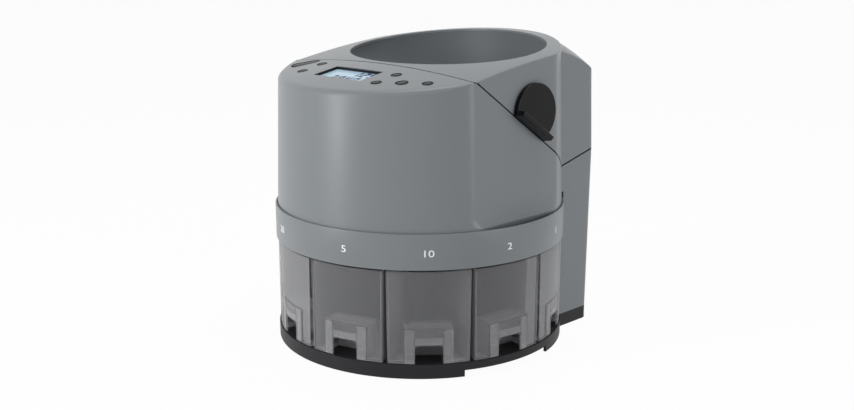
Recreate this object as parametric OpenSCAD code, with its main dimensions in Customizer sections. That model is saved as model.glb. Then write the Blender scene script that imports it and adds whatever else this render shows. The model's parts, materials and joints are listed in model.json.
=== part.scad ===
/* [Base] */
// Height of the top of the black base above the table
base_h = 16.5; // [14:0.5:20]
// How far the edge of the base stands back from the label ring
base_inset = 0.7; // [0.3:0.1:2]
// Thickness of the base deck and of its skirt
base_wall = 3; // [2:0.5:4]
// How far the rubber feet stand out below the base
foot_proud = 1; // [0.5:0.5:2]
// Radius of a rubber foot
foot_r = 8; // [6:1:9]
// Height of the finger notches under both sides
notch_h = 8; // [6:0.5:10]
// Angle from the front where a finger notch starts
notch_from = 62.5; // [60:0.5:70]
// Angle from the front where a finger notch ends
notch_to = 104; // [98:1:108]

/* [Coin cups] */
// Angle from one cup to the next
cup_pitch = 32.8; // [30:0.2:33]
// Height of a cup
cup_h = 99.7; // [80:0.1:120]
// Wall of a cup
cup_wall = 2; // [1.5:0.1:3]
// How far a cup front stands back from the label ring
cup_inset = 2.2; // [1.5:0.1:4]
// Radius of the back of a cup
cup_back_r = 64.5; // [62:0.5:70]
// Gap between two cups at the top
cup_gap = 3.2; // [3:0.1:5]
// Draft of the cup sides
cup_draft = 0.7; // [0:0.1:1.5]
// Width of the finger opening in a cup front
grip_w = 29.2; // [22:0.2:34]
// Height of the finger opening
grip_h = 20; // [15:0.5:26]
// Width of the pocket behind the finger opening
pocket_w = 53; // [44:0.5:56]
// Height of the pocket
pocket_h = 38; // [32:0.5:50]
// Depth of the pocket
pocket_d = 28; // [20:0.5:40]
// Thickness of the dark dividers between the cups
divider_t = 2.4; // [1.5:0.1:2.6]

/* [Label ring] */
// Outer radius of the label ring
ring_r = 165; // [162:0.5:172]
// Height of the label ring
ring_h = 38.1; // [34:0.1:46]
// Wall of the label ring
ring_wall = 2.5; // [2:0.1:3]
// Height of the lip above the shelf that carries the drum
lip_h = 2.1; // [1.5:0.1:4]

/* [Drum housing] */
// Wall of the housings
wall = 2.5; // [2:0.1:3]
// How far the foot of the drum stands back from the label ring
drum_step = 2.9; // [2.7:0.1:4]
// Draft of the drum
drum_draft = 1.78; // [1:0.02:2.2]
// How far each flat side lies inside the label ring
side_flat = 17; // [15:0.5:18]
// Radius of the flared foot of the flat sides
flare_r = 8; // [5:0.5:9]
// Height of the front rim of the panel above the label ring
panel_rise = 141; // [130:1:160]
// Slope of the control panel
panel_slope = 10.6; // [8:0.2:14]
// Radius of the crown of the control panel
crown_r = 1310; // [1000:10:2000]
// Seam between panel and hopper, measured from the drum axis
seam_y = -62; // [-64:0.5:-60]
// Width of the seams
seam_gap = 0.6; // [0.4:0.1:1]
// How far the seam drops before it slants down the sides
seam_drop = 6.9; // [5:0.1:9]
// Slant of the side seam
seam_slant = 35; // [33:0.5:36]
// Where the side seam meets the rear seam
valley_y = 106.8; // [104:0.2:110]
// Rise of the rear seam
rear_slant = 13.5; // [12:0.5:16]

/* [Rear tower] */
// Width of the tower at the base
tower_w = 237; // [230:1:240]
// Taper of each tower side
tower_taper = 1.84; // [1.5:0.02:2.2]
// How far the tower reaches behind the label ring
tower_reach = 2.6; // [0:0.2:6]
// Lean of the rear wall below the hinge
rear_lean = 3.4; // [2.5:0.1:4]
// Lean of the rear wall above the hinge
rear_tuck = 0.87; // [0.2:0.01:2]
// Corner radius of the tower
corner_r = 10; // [8:0.5:14]
// Radius of the dome that rounds the tower top
dome_r = 211.7; // [205:0.1:220]
// Dome centre behind the drum axis
dome_y = 75.6; // [72:0.2:80]
// Dome centre below the panel seam
dome_drop = 169.3; // [165:0.1:175]

/* [Hopper] */
// Radius of the domed top around the bowl
top_r = 1269; // [1100:1:1500]
// Highest point of that dome behind the drum axis
top_y = 187.8; // [180:0.2:195]
// Half width of the bowl rim
rim_rx = 124; // [118:0.5:126]
// Half depth of the bowl rim
rim_ry = 98; // [92:0.5:98.5]
// Centre of the bowl rim behind the drum axis
rim_y = 42.2; // [41.8:0.2:46]
// Wall of the bowl
bowl_wall = 2.5; // [2:0.1:3]
// Radius of the round bowl bottom
well_r = 62; // [58:0.5:66]
// Centre of the bowl bottom behind the drum axis
well_y = 50; // [48:0.5:52]
// Depth of the bowl floor below the panel seam
floor_drop = 84; // [76:0.5:86]
// Height of the straight wall around the feed disc
well_h = 12; // [10:0.5:16]

/* [Coin feed] */
// Thickness of the feed disc
feed_t = 6; // [4:0.5:8]
// Gap between feed disc and bowl
feed_gap = 0.6; // [0.4:0.1:1.5]
// Radius of the coin holes in the feed disc
feed_hole_r = 15; // [14:0.5:17]
// Distance of the coin holes from the disc centre
feed_hole_at = 38; // [34:0.5:42]
// Number of coin holes
feed_holes = 4; // [3:1:5]
// Radius of the feed motor
feed_motor_r = 17; // [14:0.5:18]
// Length of the feed motor
feed_motor_h = 40; // [30:1:44]
// Length of the chute below the bowl
feed_chute_h = 46; // [40:1:48]

/* [Sorter] */
// Distance of the coin openings from the drum axis
sort_at = 122; // [119:0.5:123]
// Play of a coin in its opening
coin_play = 0.25; // [0.1:0.05:0.5]
// Inner radius of a coin chute
chute_r = 14.5; // [14:0.1:15]
// Wall of a coin chute
chute_wall = 1.5; // [1:0.1:2]
// Thickness of the sorting plate
plate_t = 3; // [2:0.5:5]
// How far the sorting plate reaches beyond the coin chutes
plate_margin = 1.5; // [0.8:0.1:3]
// Height of the sorting plate above the ring shelf
plate_lift = 5; // [3:0.5:8]
// Height of the rail on the sorting plate
rail_h = 8; // [6:0.5:12]
// Radius of the rotor disc
rotor_r = 92; // [80:1:98]
// Number of rotor fingers
rotor_fingers = 10; // [8:1:14]
// Thickness of the rotor disc
rotor_t = 2.5; // [2:0.5:4]
// Radius of the rotor shaft
shaft_r = 4; // [3:0.5:5]
// Running clearance of shafts and pins
run_gap = 0.05; // [0.03:0.01:0.08]
// Module of the drive gears
gear_module = 1; // [0.9:0.05:1.1]
// Teeth of the rotor gear
gear_teeth = 54; // [50:1:58]
// Teeth of the motor pinion
pinion_teeth = 14; // [12:1:16]
// Face width of the gears
gear_face = 6; // [4:0.5:8]
// Radius of the sorter motor
motor_r = 19; // [16:0.5:19]
// Length of the sorter motor
motor_h = 55; // [40:1:60]

/* [Control panel] */
// Width of the display window
window_w = 75.5; // [70:0.5:78]
// Depth of the display window along the slope
window_d = 34.6; // [32:0.2:38]
// Centre of the window, to the right of the drum axis
window_x = -4.2; // [-8:0.2:0]
// Centre of the window, in front of the drum axis
window_y = -102; // [-104:0.5:-100]
// Depth of the display glass below the panel
window_depth = 6; // [4:0.5:8]
// Depth of the control board below the panel
board_depth = 20; // [19:0.5:24]
// Travel of a button
key_travel = 1; // [0.5:0.1:1.2]
// Clearance around a button cap
key_gap = 0.25; // [0.2:0.05:0.4]
// Outer radius of a small button ring
key_r = 6; // [5.5:0.1:6.5]
// Outer radius of the start button ring
start_r = 7; // [6.5:0.1:7.5]
// Length of the oval button
oval_l = 31; // [28:0.5:32]
// Width of the oval button
oval_w = 14; // [12:0.5:15]

/* [Latch lever] */
// Height of the lever axis above the label ring
lever_up = 113; // [111:0.5:115]
// Lever axis behind the drum axis
lever_y = 25.6; // [24:0.2:28]
// Radius of the lever disc
lever_r = 29.6; // [26:0.2:31]
// Distance from the lever axis to its flat edge
lever_flat = 17; // [15:0.2:17.4]
// Thickness of the lever disc
lever_t = 6; // [4:0.5:8]
// Height of the lever bar above the housing
bar_h = 14.5; // [11:0.5:18]
// Width of the lever bar
bar_w = 8; // [6:0.5:10]
// Reach of the bar towards its tip
bar_tip = 31; // [28:0.5:34]
// Reach of the bar towards its other end
bar_tail = 24; // [20:0.5:24]
// Inner radius of the cam hook
hook_r = 27; // [26.6:0.1:28]
// Largest angle to which the lever turns
lever_turn = 90; // [80:1:95]

/* [Hidden] */

$fn = 96;
fit = 0.1;
cut = 1;
far = 4 * ring_r;
housing_grey = [0.47, 0.5, 0.51];
bowl_grey = [0.38, 0.41, 0.43];
base_black = [0.19, 0.19, 0.21];
satin_black = [0.08, 0.08, 0.09];
smoke = [0.42, 0.42, 0.45, 0.6];
steel = [0.72, 0.73, 0.75];
board_green = [0.1, 0.36, 0.2];
inner_white = [0.86, 0.86, 0.84];
brass = [0.8, 0.68, 0.35];

base_r = ring_r - base_inset;
cup_r = ring_r - cup_inset;
cup_lift = 0.3;
cup_z = base_h + cup_lift;
cup_top = cup_z + cup_h;
cup_head = 2;
deck_z = cup_top + cup_head;
deck_t = 3;
deck_top = deck_z + deck_t;
deck_r = ring_r - ring_wall - fit;
core_r = cup_back_r - 2.5;
core_wall = 2.5;
bolt_r = 2;
bolt_boss_r = 5;
bolt_head_r = 3.5;
bolt_bite = 8;
notch_depth = 9;
rib_h = 5;
main_size = [66, 62];
main_behind = 17.6;
main_lift = 6;
main_edge = 4;
divider_r = cup_r - 4.8;
cups = 8;
bay_angle = cups / 2 * cup_pitch;
ring_z = deck_z + 0.5;
ring_top = ring_z + ring_h;
shelf_z = ring_top - lip_h;
shelf_t = 2.5;
plate_r = sort_at + chute_r + chute_wall + plate_margin;
shelf_r = plate_r + 0.5;

drum_r = ring_r - max(drum_step, ring_wall + 0.3);
flat_x = ring_r - side_flat;
panel_z = ring_top + panel_rise;
panel_rim = drum_r - panel_rise * tan(drum_draft);
seam_z = panel_z + (panel_rim + seam_y) * tan(panel_slope);
roof_z = seam_z + 60;
split_z = seam_z - seam_drop;
valley_z = split_z - (valley_y - seam_y) * tan(seam_slant);
tower_y = ring_r + tower_reach;
tower_front = 60;
hinge_z = (valley_z + (tower_y - base_h * tan(rear_lean) - valley_y) * tan(rear_slant))
    / (1 - tan(rear_lean) * tan(rear_slant));
hinge_wall = tower_y + (hinge_z - base_h) * tan(rear_lean);
main_at = [4, tower_y - main_behind - main_size[1]];
knuckle_r = 4;
pin_r = 2;
hinge_y = hinge_wall + 0.4 + knuckle_r;
hinge_x = 70;
hinge_long = 20;
hinge_plate = 1.6;
rivet_x = 7;
rivet_r = 1.5;
bracket_low = -22;
bracket_high = -5;
leaf_low = 5.2;
leaf_high = 18.2;
axis_y = (ring_r - hinge_y - knuckle_r) / 2;

top_z = seam_z + top_r - sqrt(top_r * top_r - (top_y - seam_y) * (top_y - seam_y));
floor_z = seam_z - floor_drop;
floor_t = 3;
well_top = floor_z + well_h;
disc_z = floor_z + 4;
outlet_y = well_y - feed_hole_at;

plate_z = shelf_z + plate_lift;
plate_top = plate_z + plate_t;
rotor_z = plate_top + 2;
finger_t = 5;
finger_r = plate_r - 4.5;
rail_t = 3;
coin_d = [16.25, 18.75, 19.75, 21.25, 22.25, 23.25, 24.25, 25.75];
gear_z = deck_top + 4.5;
gear_r = gear_module * gear_teeth / 2;
pinion_r = gear_module * pinion_teeth / 2;
motor_y = gear_r + pinion_r;
motor_shaft_r = 2;
motor_top = deck_z - 3;
bush_r = 7;

lever_z = ring_top + lever_up;
lever_gap = 0.3;
cam_z = -10;
cam_t = 4;
hook_w = 6;
hook_angle = 27;
catch_r = 2.5;
catch_at = hook_r - 1 - catch_r;
catch_angle = -lever_turn - 20;

inlet_x = -60;
inlet_body = [27, 20];
inlet_hollow = [23, 16];
inlet_deep = 17;
switch_x = -20;
switch_body = [13, 19];
switch_hollow = [10.4, 16];
port_x = 45;
port_body = [14, 12];
port_hollow = [10, 8];
socket_z = 48;
socket_rim = 3;
socket_gap = 0.5;
rocker_pivot = -2;
rocker_tilt = 7;
rocker_pin_r = 1.5;
rocker_side = 0.3;

ring_w = 1;
ring_low = 1;
ring_rim = 0.8;
ring_sunk = 0.4;
cap_proud = 0.5;
stem_r = 2;
switch_w = 6;
switch_h = 3.5;
board_t = 1.6;
glass_t = 1.5;
board_edge = 6;
board_rear = 9;
post_r = 3.2;
post_pilot = 1.3;
post_x = 58;
post_edge = 11.7;
board_screw_edge = 5;

hub_r = 14;
hub_tip = 6;
hub_h = 12;
spindle_r = 3;
spindle_low = 6;
sensor_size = [10, 7, 14];

core_size = [56, 24, 46];
core_leg = 14;
core_slot = 13;
core_yoke = 9;
coil_wall = 12;
coil_proud = 9;
core_x = -46;
core_behind = 37.6;

// Distance of each key from the panel rim, and its angle from the front
oval_at = [26.302, -52.17];
left_rear_at = [48.573, -42.401];
left_front_at = [26.557, -33.556];
right_front_at = [30.238, 25.459];
right_rear_at = [55.174, 32.171];
start_at = [27.344, 37.74];
right_end_at = [19.017, 48.892];
oval_turn = 55;
// Each key: place on the panel, ring radius, half length between the round ends, turn
keys = [
    [rim_place(oval_at), oval_w / 2, (oval_l - oval_w) / 2, oval_turn],
    [rim_place(left_rear_at), key_r, 0, 0],
    [rim_place(left_front_at), key_r, 0, 0],
    [rim_place(right_front_at), key_r, 0, 0],
    [rim_place(right_rear_at), key_r, 0, 0],
    [rim_place(start_at), start_r, 0, 0],
    [rim_place(right_end_at), key_r, 0, 0]];

function drum_at(z) = drum_r - (z - ring_top) * tan(drum_draft);
function flat_at(z) = flat_x - (z - ring_top) * tan(drum_draft);
function tower_at(z) = tower_w / 2 - (z - base_h) * tan(tower_taper);
function rear_at(z) = z < hinge_z
    ? tower_y + (z - base_h) * tan(rear_lean)
    : hinge_wall - (z - hinge_z) * tan(rear_tuck);
function top_at(x, y) = top_z - top_r + sqrt(top_r * top_r - x * x - (y - top_y) * (y - top_y));
function sag(x) = crown_r - sqrt(crown_r * crown_r - x * x);
function rim_place(p) = [(panel_rim - p[0]) * sin(p[1]), -(panel_rim - p[0]) * cos(p[1])];
function cup_turn(k) = ((cups - 1) / 2 - k) * cup_pitch;

module machine() {
    translate([0, axis_y, 0]) children();
}

module side_slab(points) {
    rotate([90, 0, 90]) linear_extrude(height = far, center = true) polygon(points);
}

module ring_tube(outer, inner, low, high) {
    difference() {
        translate([0, 0, low]) cylinder(r = outer, h = high - low);
        translate([0, 0, low - cut]) cylinder(r = inner, h = high - low + 2 * cut);
    }
}

// Closed skin through a stack of rings with the same number of points
module stack(rings) {
    n = len(rings[0]);
    m = len(rings);
    points = [for (ring = rings) for (p = ring) p];
    sides = [for (i = [0 : m - 2]) for (j = [0 : n - 1]) let (k = (j + 1) % n) each [
        [i * n + j, (i + 1) * n + j, (i + 1) * n + k],
        [i * n + j, (i + 1) * n + k, i * n + k]]];
    caps = [[for (j = [0 : n - 1]) j], [for (j = [n - 1 : -1 : 0]) (m - 1) * n + j]];
    polyhedron(points, concat(sides, caps), convexity = 6);
}

// Closed skin that runs through the rings and back to the first one
module sleeve(rings) {
    n = len(rings[0]);
    m = len(rings);
    points = [for (ring = rings) for (p = ring) p];
    sides = [for (i = [0 : m - 1]) for (j = [0 : n - 1]) let (k = (j + 1) % n, u = (i + 1) % m) each [
        [i * n + j, u * n + j, u * n + k],
        [i * n + j, u * n + k, i * n + k]]];
    polyhedron(points, sides, convexity = 6);
}

// Outline of the drum seen from the front, with flared feet where asked
function flat_side(inset, low, high, flare) = concat(
    flare > 0
        ? [for (a = [0 : 15 : 90]) [flat_at(low) + flare * (1 - sin(a)), low + flare * (1 - cos(a))]]
        : [[flat_at(low) - inset, low]],
    [[flat_at(high) - inset, high]]);

module drum_solid(inset, low, flare = 0) {
    right = flat_side(inset, low, roof_z, flare);
    left = [for (i = [len(right) - 1 : -1 : 0]) [-right[i][0], right[i][1]]];
    intersection() {
        translate([0, 0, low])
            cylinder(r1 = drum_at(low) - inset, r2 = drum_at(roof_z) - inset, h = roof_z - low, $fn = 180);
        rotate([90, 0, 0]) linear_extrude(height = far, center = true) polygon(concat(right, left));
    }
}

module on_slope() {
    translate([0, seam_y, seam_z]) rotate([panel_slope, 0, 0]) children();
}

module panel_cap(depth) {
    on_slope() translate([0, 0, -crown_r - depth]) rotate([90, 0, 0])
        cylinder(r = crown_r, h = far, center = true, $fn = 720);
}

// Puts a piece on the panel, with its axis square to the slope
module on_panel(x, y) {
    on_slope() translate([x, (y - seam_y) / cos(panel_slope), -sag(x)]) children();
}

module top_dome(depth) {
    translate([0, top_y, top_z - top_r]) sphere(r = top_r - depth, $fn = 360);
}

module tower_dome(depth) {
    translate([0, dome_y, seam_z - dome_drop]) sphere(r = dome_r - depth, $fn = 180);
}

function tower_ring(z, inset) = let (
    w = tower_at(z) - inset,
    b = rear_at(z) - inset,
    c = max(corner_r - inset, 0.5)) concat(
    [[w, tower_front, z]],
    [for (a = [0 : 15 : 90]) [w - c + c * cos(a), b - c + c * sin(a), z]],
    [for (a = [90 : 15 : 180]) [-w + c + c * cos(a), b - c + c * sin(a), z]],
    [[-w, tower_front, z]]);

module tower_solid(inset, low) {
    stack([tower_ring(low, inset), tower_ring(hinge_z, inset), tower_ring(roof_z, inset)]);
}

// Everything in front of and below the parting seam
module below_seam(gap) {
    side_slab([
        [-far, -far],
        [far, -far],
        [far, valley_z + (far - valley_y) * tan(rear_slant) - gap],
        [valley_y, valley_z - gap],
        [seam_y - gap, split_z - gap],
        [seam_y - gap, roof_z + far],
        [-far, roof_z + far]]);
}

module base_outline(inset) {
    circle(r = base_r - inset, $fn = 180);
    half = tower_at(base_h) - inset;
    back = rear_at(base_h) - inset;
    round = corner_r - inset / 2;
    translate([-half, 0]) square([2 * half, back - round]);
    translate([-half + round, 0]) square([2 * (half - round), back]);
    for (side = [-1, 1]) translate([side * (half - round), back - round]) circle(r = round);
}

function feet() = [for (a = [-150, -118, -30, 30, 118, 150]) let (reach = base_r - 22)
    [reach * sin(a), -reach * cos(a)]];
function base_bolts() = [for (a = [-135, -75, 0, 75, 135]) let (reach = core_r - bolt_boss_r)
    [reach * sin(a), -reach * cos(a)]];

function main_posts() = [
    for (x = [main_edge, main_size[0] - main_edge]) for (y = [main_edge, main_size[1] - main_edge])
        [main_at[0] + x, main_at[1] + y]];

module base_tray() {
    foot_z = foot_proud;
    color(base_black) machine() difference() {
        union() {
            translate([0, 0, base_h - base_wall]) linear_extrude(height = base_wall) base_outline(0);
            translate([0, 0, foot_z]) linear_extrude(height = base_h - base_wall - foot_z + fit)
                difference() {
                    base_outline(0);
                    base_outline(base_wall);
                }
            for (p = feet()) translate([p[0], p[1], foot_z])
                cylinder(r = foot_r + base_wall, h = base_h - foot_z - fit);
            for (p = base_bolts()) translate([p[0], p[1], foot_z])
                cylinder(r = bolt_boss_r, h = base_h - foot_z - fit);
            for (a = [0 : 45 : 135]) rotate([0, 0, a + 22.5])
                translate([-base_r + base_wall / 2, -base_wall / 2, base_h - base_wall - rib_h])
                    cube([2 * base_r - base_wall, base_wall, rib_h + fit]);
            for (p = main_posts()) translate([p[0], p[1], base_h - fit])
                cylinder(r = main_edge - 1, h = main_lift + fit);
        }
        for (side = [0, 1]) mirror([side, 0, 0]) translate([0, 0, -cut])
            linear_extrude(height = notch_h + cut) difference() {
                polygon(concat([[0, 0]], [for (step = [0 : 4]) let (
                    a = notch_from + (notch_to - notch_from) * step / 4)
                    [1.2 * base_r * sin(a), -1.2 * base_r * cos(a)]]));
                circle(r = base_r - notch_depth);
            }
        for (p = feet()) translate([p[0], p[1], foot_z - cut]) cylinder(r = foot_r + fit, h = 2 + cut);
        for (p = base_bolts()) translate([p[0], p[1], 0]) {
            cylinder(r = bolt_head_r + 0.3, h = foot_z + 3);
            cylinder(r = bolt_r + fit, h = base_h + cut);
        }
    }
}

module rubber_feet() {
    color(satin_black) machine() for (p = feet()) translate([p[0], p[1], 0])
        cylinder(r = foot_r, h = foot_proud + 2);
}

module base_screws() {
    head = 2.6;
    color(steel) machine() for (p = base_bolts()) translate([p[0], p[1], foot_proud + 3 - head]) {
        cylinder(r = bolt_head_r, h = head);
        cylinder(r = bolt_r, h = base_h + bolt_bite - foot_proud - 3 + head);
    }
}

module cup_bay_core() {
    color(satin_black) machine() difference() {
        union() {
            ring_tube(core_r, core_r - core_wall, base_h, deck_z);
            for (p = base_bolts()) translate([p[0], p[1], base_h])
                cylinder(r = bolt_boss_r, h = bolt_bite + 4);
        }
        for (p = base_bolts()) translate([p[0], p[1], base_h - cut])
            cylinder(r = bolt_r + fit, h = bolt_bite + 0.5 + cut);
    }
}

module cup_dividers() {
    color(satin_black) machine() for (k = [0 : cups]) rotate([0, 0, bay_angle - k * cup_pitch])
        translate([-divider_t / 2, -divider_r, base_h])
            cube([divider_t, divider_r - core_r - fit, deck_z - base_h]);
}

module tower_walls(play) {
    difference() {
        tower_solid(-play, base_h - cut);
        tower_solid(wall + play, base_h - 2 * cut);
    }
}

module chute_deck() {
    color(base_black) machine() difference() {
        translate([0, 0, deck_z]) cylinder(r = deck_r, h = deck_t);
        for (k = [0 : cups - 1]) rotate([0, 0, cup_turn(k)])
            translate([0, -sort_at, deck_z - cut]) cylinder(r = chute_r, h = deck_t + 2 * cut);
        translate([0, 0, deck_z - cut]) cylinder(r = bush_r + 0.02, h = deck_t + 2 * cut);
        translate([0, motor_y, deck_z - cut]) cylinder(r = motor_shaft_r + 1, h = deck_t + 2 * cut);
        tower_walls(seam_gap);
    }
}

module label_ring() {
    ledge_w = 4;
    color(housing_grey) machine() difference() {
        union() {
            ring_tube(ring_r, ring_r - ring_wall, ring_z, ring_top);
            ring_tube(ring_r - fit, deck_r - ledge_w, deck_top, deck_top + shelf_t);
            ring_tube(ring_r - fit, shelf_r, shelf_z - shelf_t, shelf_z);
        }
        tower_solid(-seam_gap, base_h - cut);
    }
}

module front_housing() {
    lip = 20;
    color(housing_grey) machine() {
        difference() {
            intersection() {
                drum_solid(0, shelf_z, flare_r);
                panel_cap(0);
                below_seam(seam_gap / 2);
            }
            intersection() {
                drum_solid(wall, shelf_z - cut);
                panel_cap(wall);
            }
            tower_solid(-seam_gap, base_h);
            on_panel(window_x, window_y) cube([window_w, window_d, 4 * window_depth], center = true);
            for (k = keys) on_panel(k[0][0], k[0][1]) translate([0, 0, -3 * wall])
                linear_extrude(height = 6 * wall) key_outline(k, fit);
        }
        difference() {
            intersection() {
                drum_solid(wall / 2, shelf_z);
                panel_cap(wall / 2);
                side_slab([
                    [seam_y - seam_gap / 2 - wall, split_z - lip],
                    [seam_y - seam_gap / 2, split_z - lip],
                    [seam_y - seam_gap / 2, roof_z],
                    [seam_y - seam_gap / 2 - wall, roof_z]]);
            }
            for (k = keys) on_panel(k[0][0], k[0][1]) translate([0, 0, -board_depth])
                linear_extrude(height = board_depth + wall) key_outline(k, ring_rim + 0.3);
        }
        for (p = board_posts()) on_slope() translate([p[0], (p[1] - seam_y) / cos(panel_slope), -board_depth])
            difference() {
                cylinder(r = post_r, h = board_depth - sag(p[0]) - wall / 2);
                translate([0, 0, -cut]) cylinder(r = post_pilot, h = 7 + cut);
            }
    }
}

module rear_cover() {
    color(housing_grey) machine() difference() {
        intersection() {
            tower_walls(0);
            below_seam(seam_gap / 2);
        }
        translate([0, 0, base_h - 2 * cut]) cylinder(r = divider_r + fit, h = ring_z - base_h + 2 * cut);
        translate([0, 0, ring_z - fit]) cylinder(r = ring_r + seam_gap, h = ring_h + 6);
        drum_solid(-seam_gap / 2, ring_top);
        translate([0, 0, -base_h]) cube([far, far, 4 * base_h], center = true);
        socket_cut(inlet_x, inlet_body);
        socket_cut(switch_x, switch_body);
        socket_cut(port_x, port_body);
        for (side = [-1, 1]) on_hinge(side * hinge_x, rear_lean)
            rivets(rivet_r + fit, -4 * wall, 2 * wall, (bracket_low + bracket_high) / 2);
    }
}

// Puts a piece on the rear wall at socket height, with +Y square to the wall
module on_rear(x) {
    translate([x, rear_at(socket_z) - wall / 2, socket_z]) rotate([-rear_lean, 0, 0]) children();
}

// Puts a piece on the rear wall at the hinge line
module on_hinge(x, lean) {
    translate([x, hinge_wall, hinge_z]) rotate([-lean, 0, 0]) children();
}

// Two round bars through a hinge plate, from y = low to y = high
module rivets(r, low, high, z) {
    for (x = [-rivet_x, rivet_x]) translate([x, high, z]) rotate([90, 0, 0]) cylinder(r = r, h = high - low);
}

module hinge_fixing(low, high) {
    mid = (low + high) / 2;
    long = hinge_long + 2;
    translate([-long / 2, fit, low]) cube([long, hinge_plate, high - low]);
    rivets(rivet_r, -wall - fit, hinge_plate, mid);
    rivets(2 * rivet_r, -wall - 1.3, -wall - fit, mid);
    rivets(2 * rivet_r, hinge_plate, hinge_plate + 1, mid);
}

module pin_bore() {
    translate([-hinge_long / 2 - cut, hinge_y, hinge_z]) rotate([0, 90, 0])
        cylinder(r = pin_r + run_gap, h = hinge_long + 2 * cut);
}

// One knuckle of a hinge with the web that ties it to its plate
module knuckle(x, long, web_z) {
    translate([x, hinge_y, hinge_z]) rotate([0, 90, 0]) cylinder(r = knuckle_r, h = long);
    translate([x, hinge_wall + 0.2, hinge_z + web_z]) cube([long, hinge_y - hinge_wall - 0.2, 4.5]);
}

module hopper_outer(inset) {
    intersection() {
        drum_solid(inset, valley_z - far / 8);
        top_dome(inset);
    }
    intersection() {
        tower_solid(inset, base_h);
        top_dome(inset);
        tower_dome(inset);
    }
}

module hopper_housing() {
    color(housing_grey) machine() difference() {
        hopper_outer(0);
        difference() {
            hopper_outer(wall);
            side_slab([
                [seam_y - far, valley_z],
                [seam_y + seam_gap / 2 + wall, valley_z],
                [seam_y + seam_gap / 2 + wall, roof_z],
                [seam_y - far, roof_z]]);
        }
        below_seam(-seam_gap / 2);
        linear_extrude(height = roof_z) polygon(rim_outline(0));
        at_lever() translate([0, 0, -4 * wall]) cylinder(r = shaft_r + run_gap, h = 8 * wall);
        for (side = [-1, 1]) on_hinge(side * hinge_x, -rear_tuck)
            rivets(rivet_r + fit, -4 * wall, 2 * wall, (leaf_low + leaf_high) / 2);
    }
}

function rim_outline(grow) = [for (a = [0 : 5 : 355])
    [(rim_rx + grow) * cos(a), rim_y + (rim_ry + grow) * sin(a)]];

// Ring of the bowl at height share t, from the round bottom to the oval rim, or at the floor for -1
function bowl_ring(t, grow) = let (
    s = sin(90 * max(t, 0)),
    rx = well_r + (rim_rx - well_r) * s + grow,
    ry = well_r + (rim_ry - well_r) * s + grow,
    cy = well_y + (rim_y - well_y) * s)
    [for (a = [0 : 7.5 : 352.5]) let (x = rx * cos(a), y = cy + ry * sin(a))
        [x, y, t < 0 ? floor_z : well_top + t * (top_at(x, y) - wall - fit - well_top)]];

module hopper_bowl() {
    color(bowl_grey) machine() difference() {
        union() {
            sleeve(concat(
                [for (t = [-1, 0, 0.2, 0.4, 0.6, 0.8, 1]) bowl_ring(t, bowl_wall)],
                [for (t = [1, 0.8, 0.6, 0.4, 0.2, 0, -1]) bowl_ring(t, 0)]));
            translate([0, 0, floor_z]) linear_extrude(height = floor_t)
                polygon([for (p = bowl_ring(-1, bowl_wall / 2)) [p[0], p[1]]]);
        }
        translate([0, well_y, floor_z - cut]) cylinder(r = spindle_r + run_gap, h = floor_t + 2 * cut);
        translate([0, outlet_y, floor_z - cut]) cylinder(r = feed_hole_r, h = floor_t + 2 * cut);
    }
}

module feed_chute() {
    color(inner_white) machine() translate([0, outlet_y, 0])
        ring_tube(feed_hole_r + 2, feed_hole_r, floor_z - feed_chute_h, floor_z);
}

module feed_disc() {
    color(bowl_grey) machine() translate([0, well_y, 0]) difference() {
        union() {
            translate([0, 0, disc_z]) cylinder(r = well_r - feed_gap, h = feed_t);
            translate([0, 0, disc_z]) cylinder(r1 = hub_r, r2 = hub_tip, h = feed_t + hub_h);
            translate([0, 0, floor_z - spindle_low])
                cylinder(r = spindle_r, h = spindle_low + disc_z + feed_t - floor_z);
        }
        for (k = [0 : feed_holes - 1]) rotate([0, 0, 270 + 360 * k / feed_holes])
            translate([feed_hole_at, 0, disc_z - cut]) cylinder(r = feed_hole_r, h = feed_t + 2 * cut);
    }
}

module feed_motor() {
    color(steel) machine() translate([0, well_y, floor_z - feed_motor_h]) difference() {
        union() {
            cylinder(r = feed_motor_r, h = feed_motor_h - spindle_low);
            translate([0, 0, feed_motor_h - spindle_low - fit])
                cylinder(r = 4 * spindle_r, h = spindle_low + fit);
        }
        translate([0, 0, feed_motor_h - spindle_low - 2])
            cylinder(r = spindle_r + run_gap, h = spindle_low + 2 + cut);
    }
}

module hinge_pin() {
    color(steel) machine() for (side = [-1, 1])
        translate([side * hinge_x - hinge_long / 2 - 1, hinge_y, hinge_z]) rotate([0, 90, 0])
            cylinder(r = pin_r, h = hinge_long + 2);
}

module hinge_bracket() {
    long = 6;
    color(satin_black) machine() for (side = [-1, 1]) {
        translate([side * hinge_x, 0, 0]) difference() {
            for (x = [-hinge_long / 2, hinge_long / 2 - long]) knuckle(x, long, -7);
            pin_bore();
        }
        on_hinge(side * hinge_x, rear_lean) hinge_fixing(bracket_low, bracket_high);
    }
}

module hinge_leaf() {
    long = 7.4;
    color(satin_black) machine() for (side = [-1, 1]) {
        translate([side * hinge_x, 0, 0]) difference() {
            knuckle(-long / 2, long, 2.5);
            pin_bore();
        }
        on_hinge(side * hinge_x, -rear_tuck) hinge_fixing(leaf_low, leaf_high);
    }
}

// Lever frame: X along the side seam, Y away from it, Z out of the flat side
module at_lever() {
    translate([flat_at(lever_z), lever_y, lever_z]) rotate([0, 90 - drum_draft, 0])
        rotate([0, 0, 90 - seam_slant]) children();
}

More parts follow.
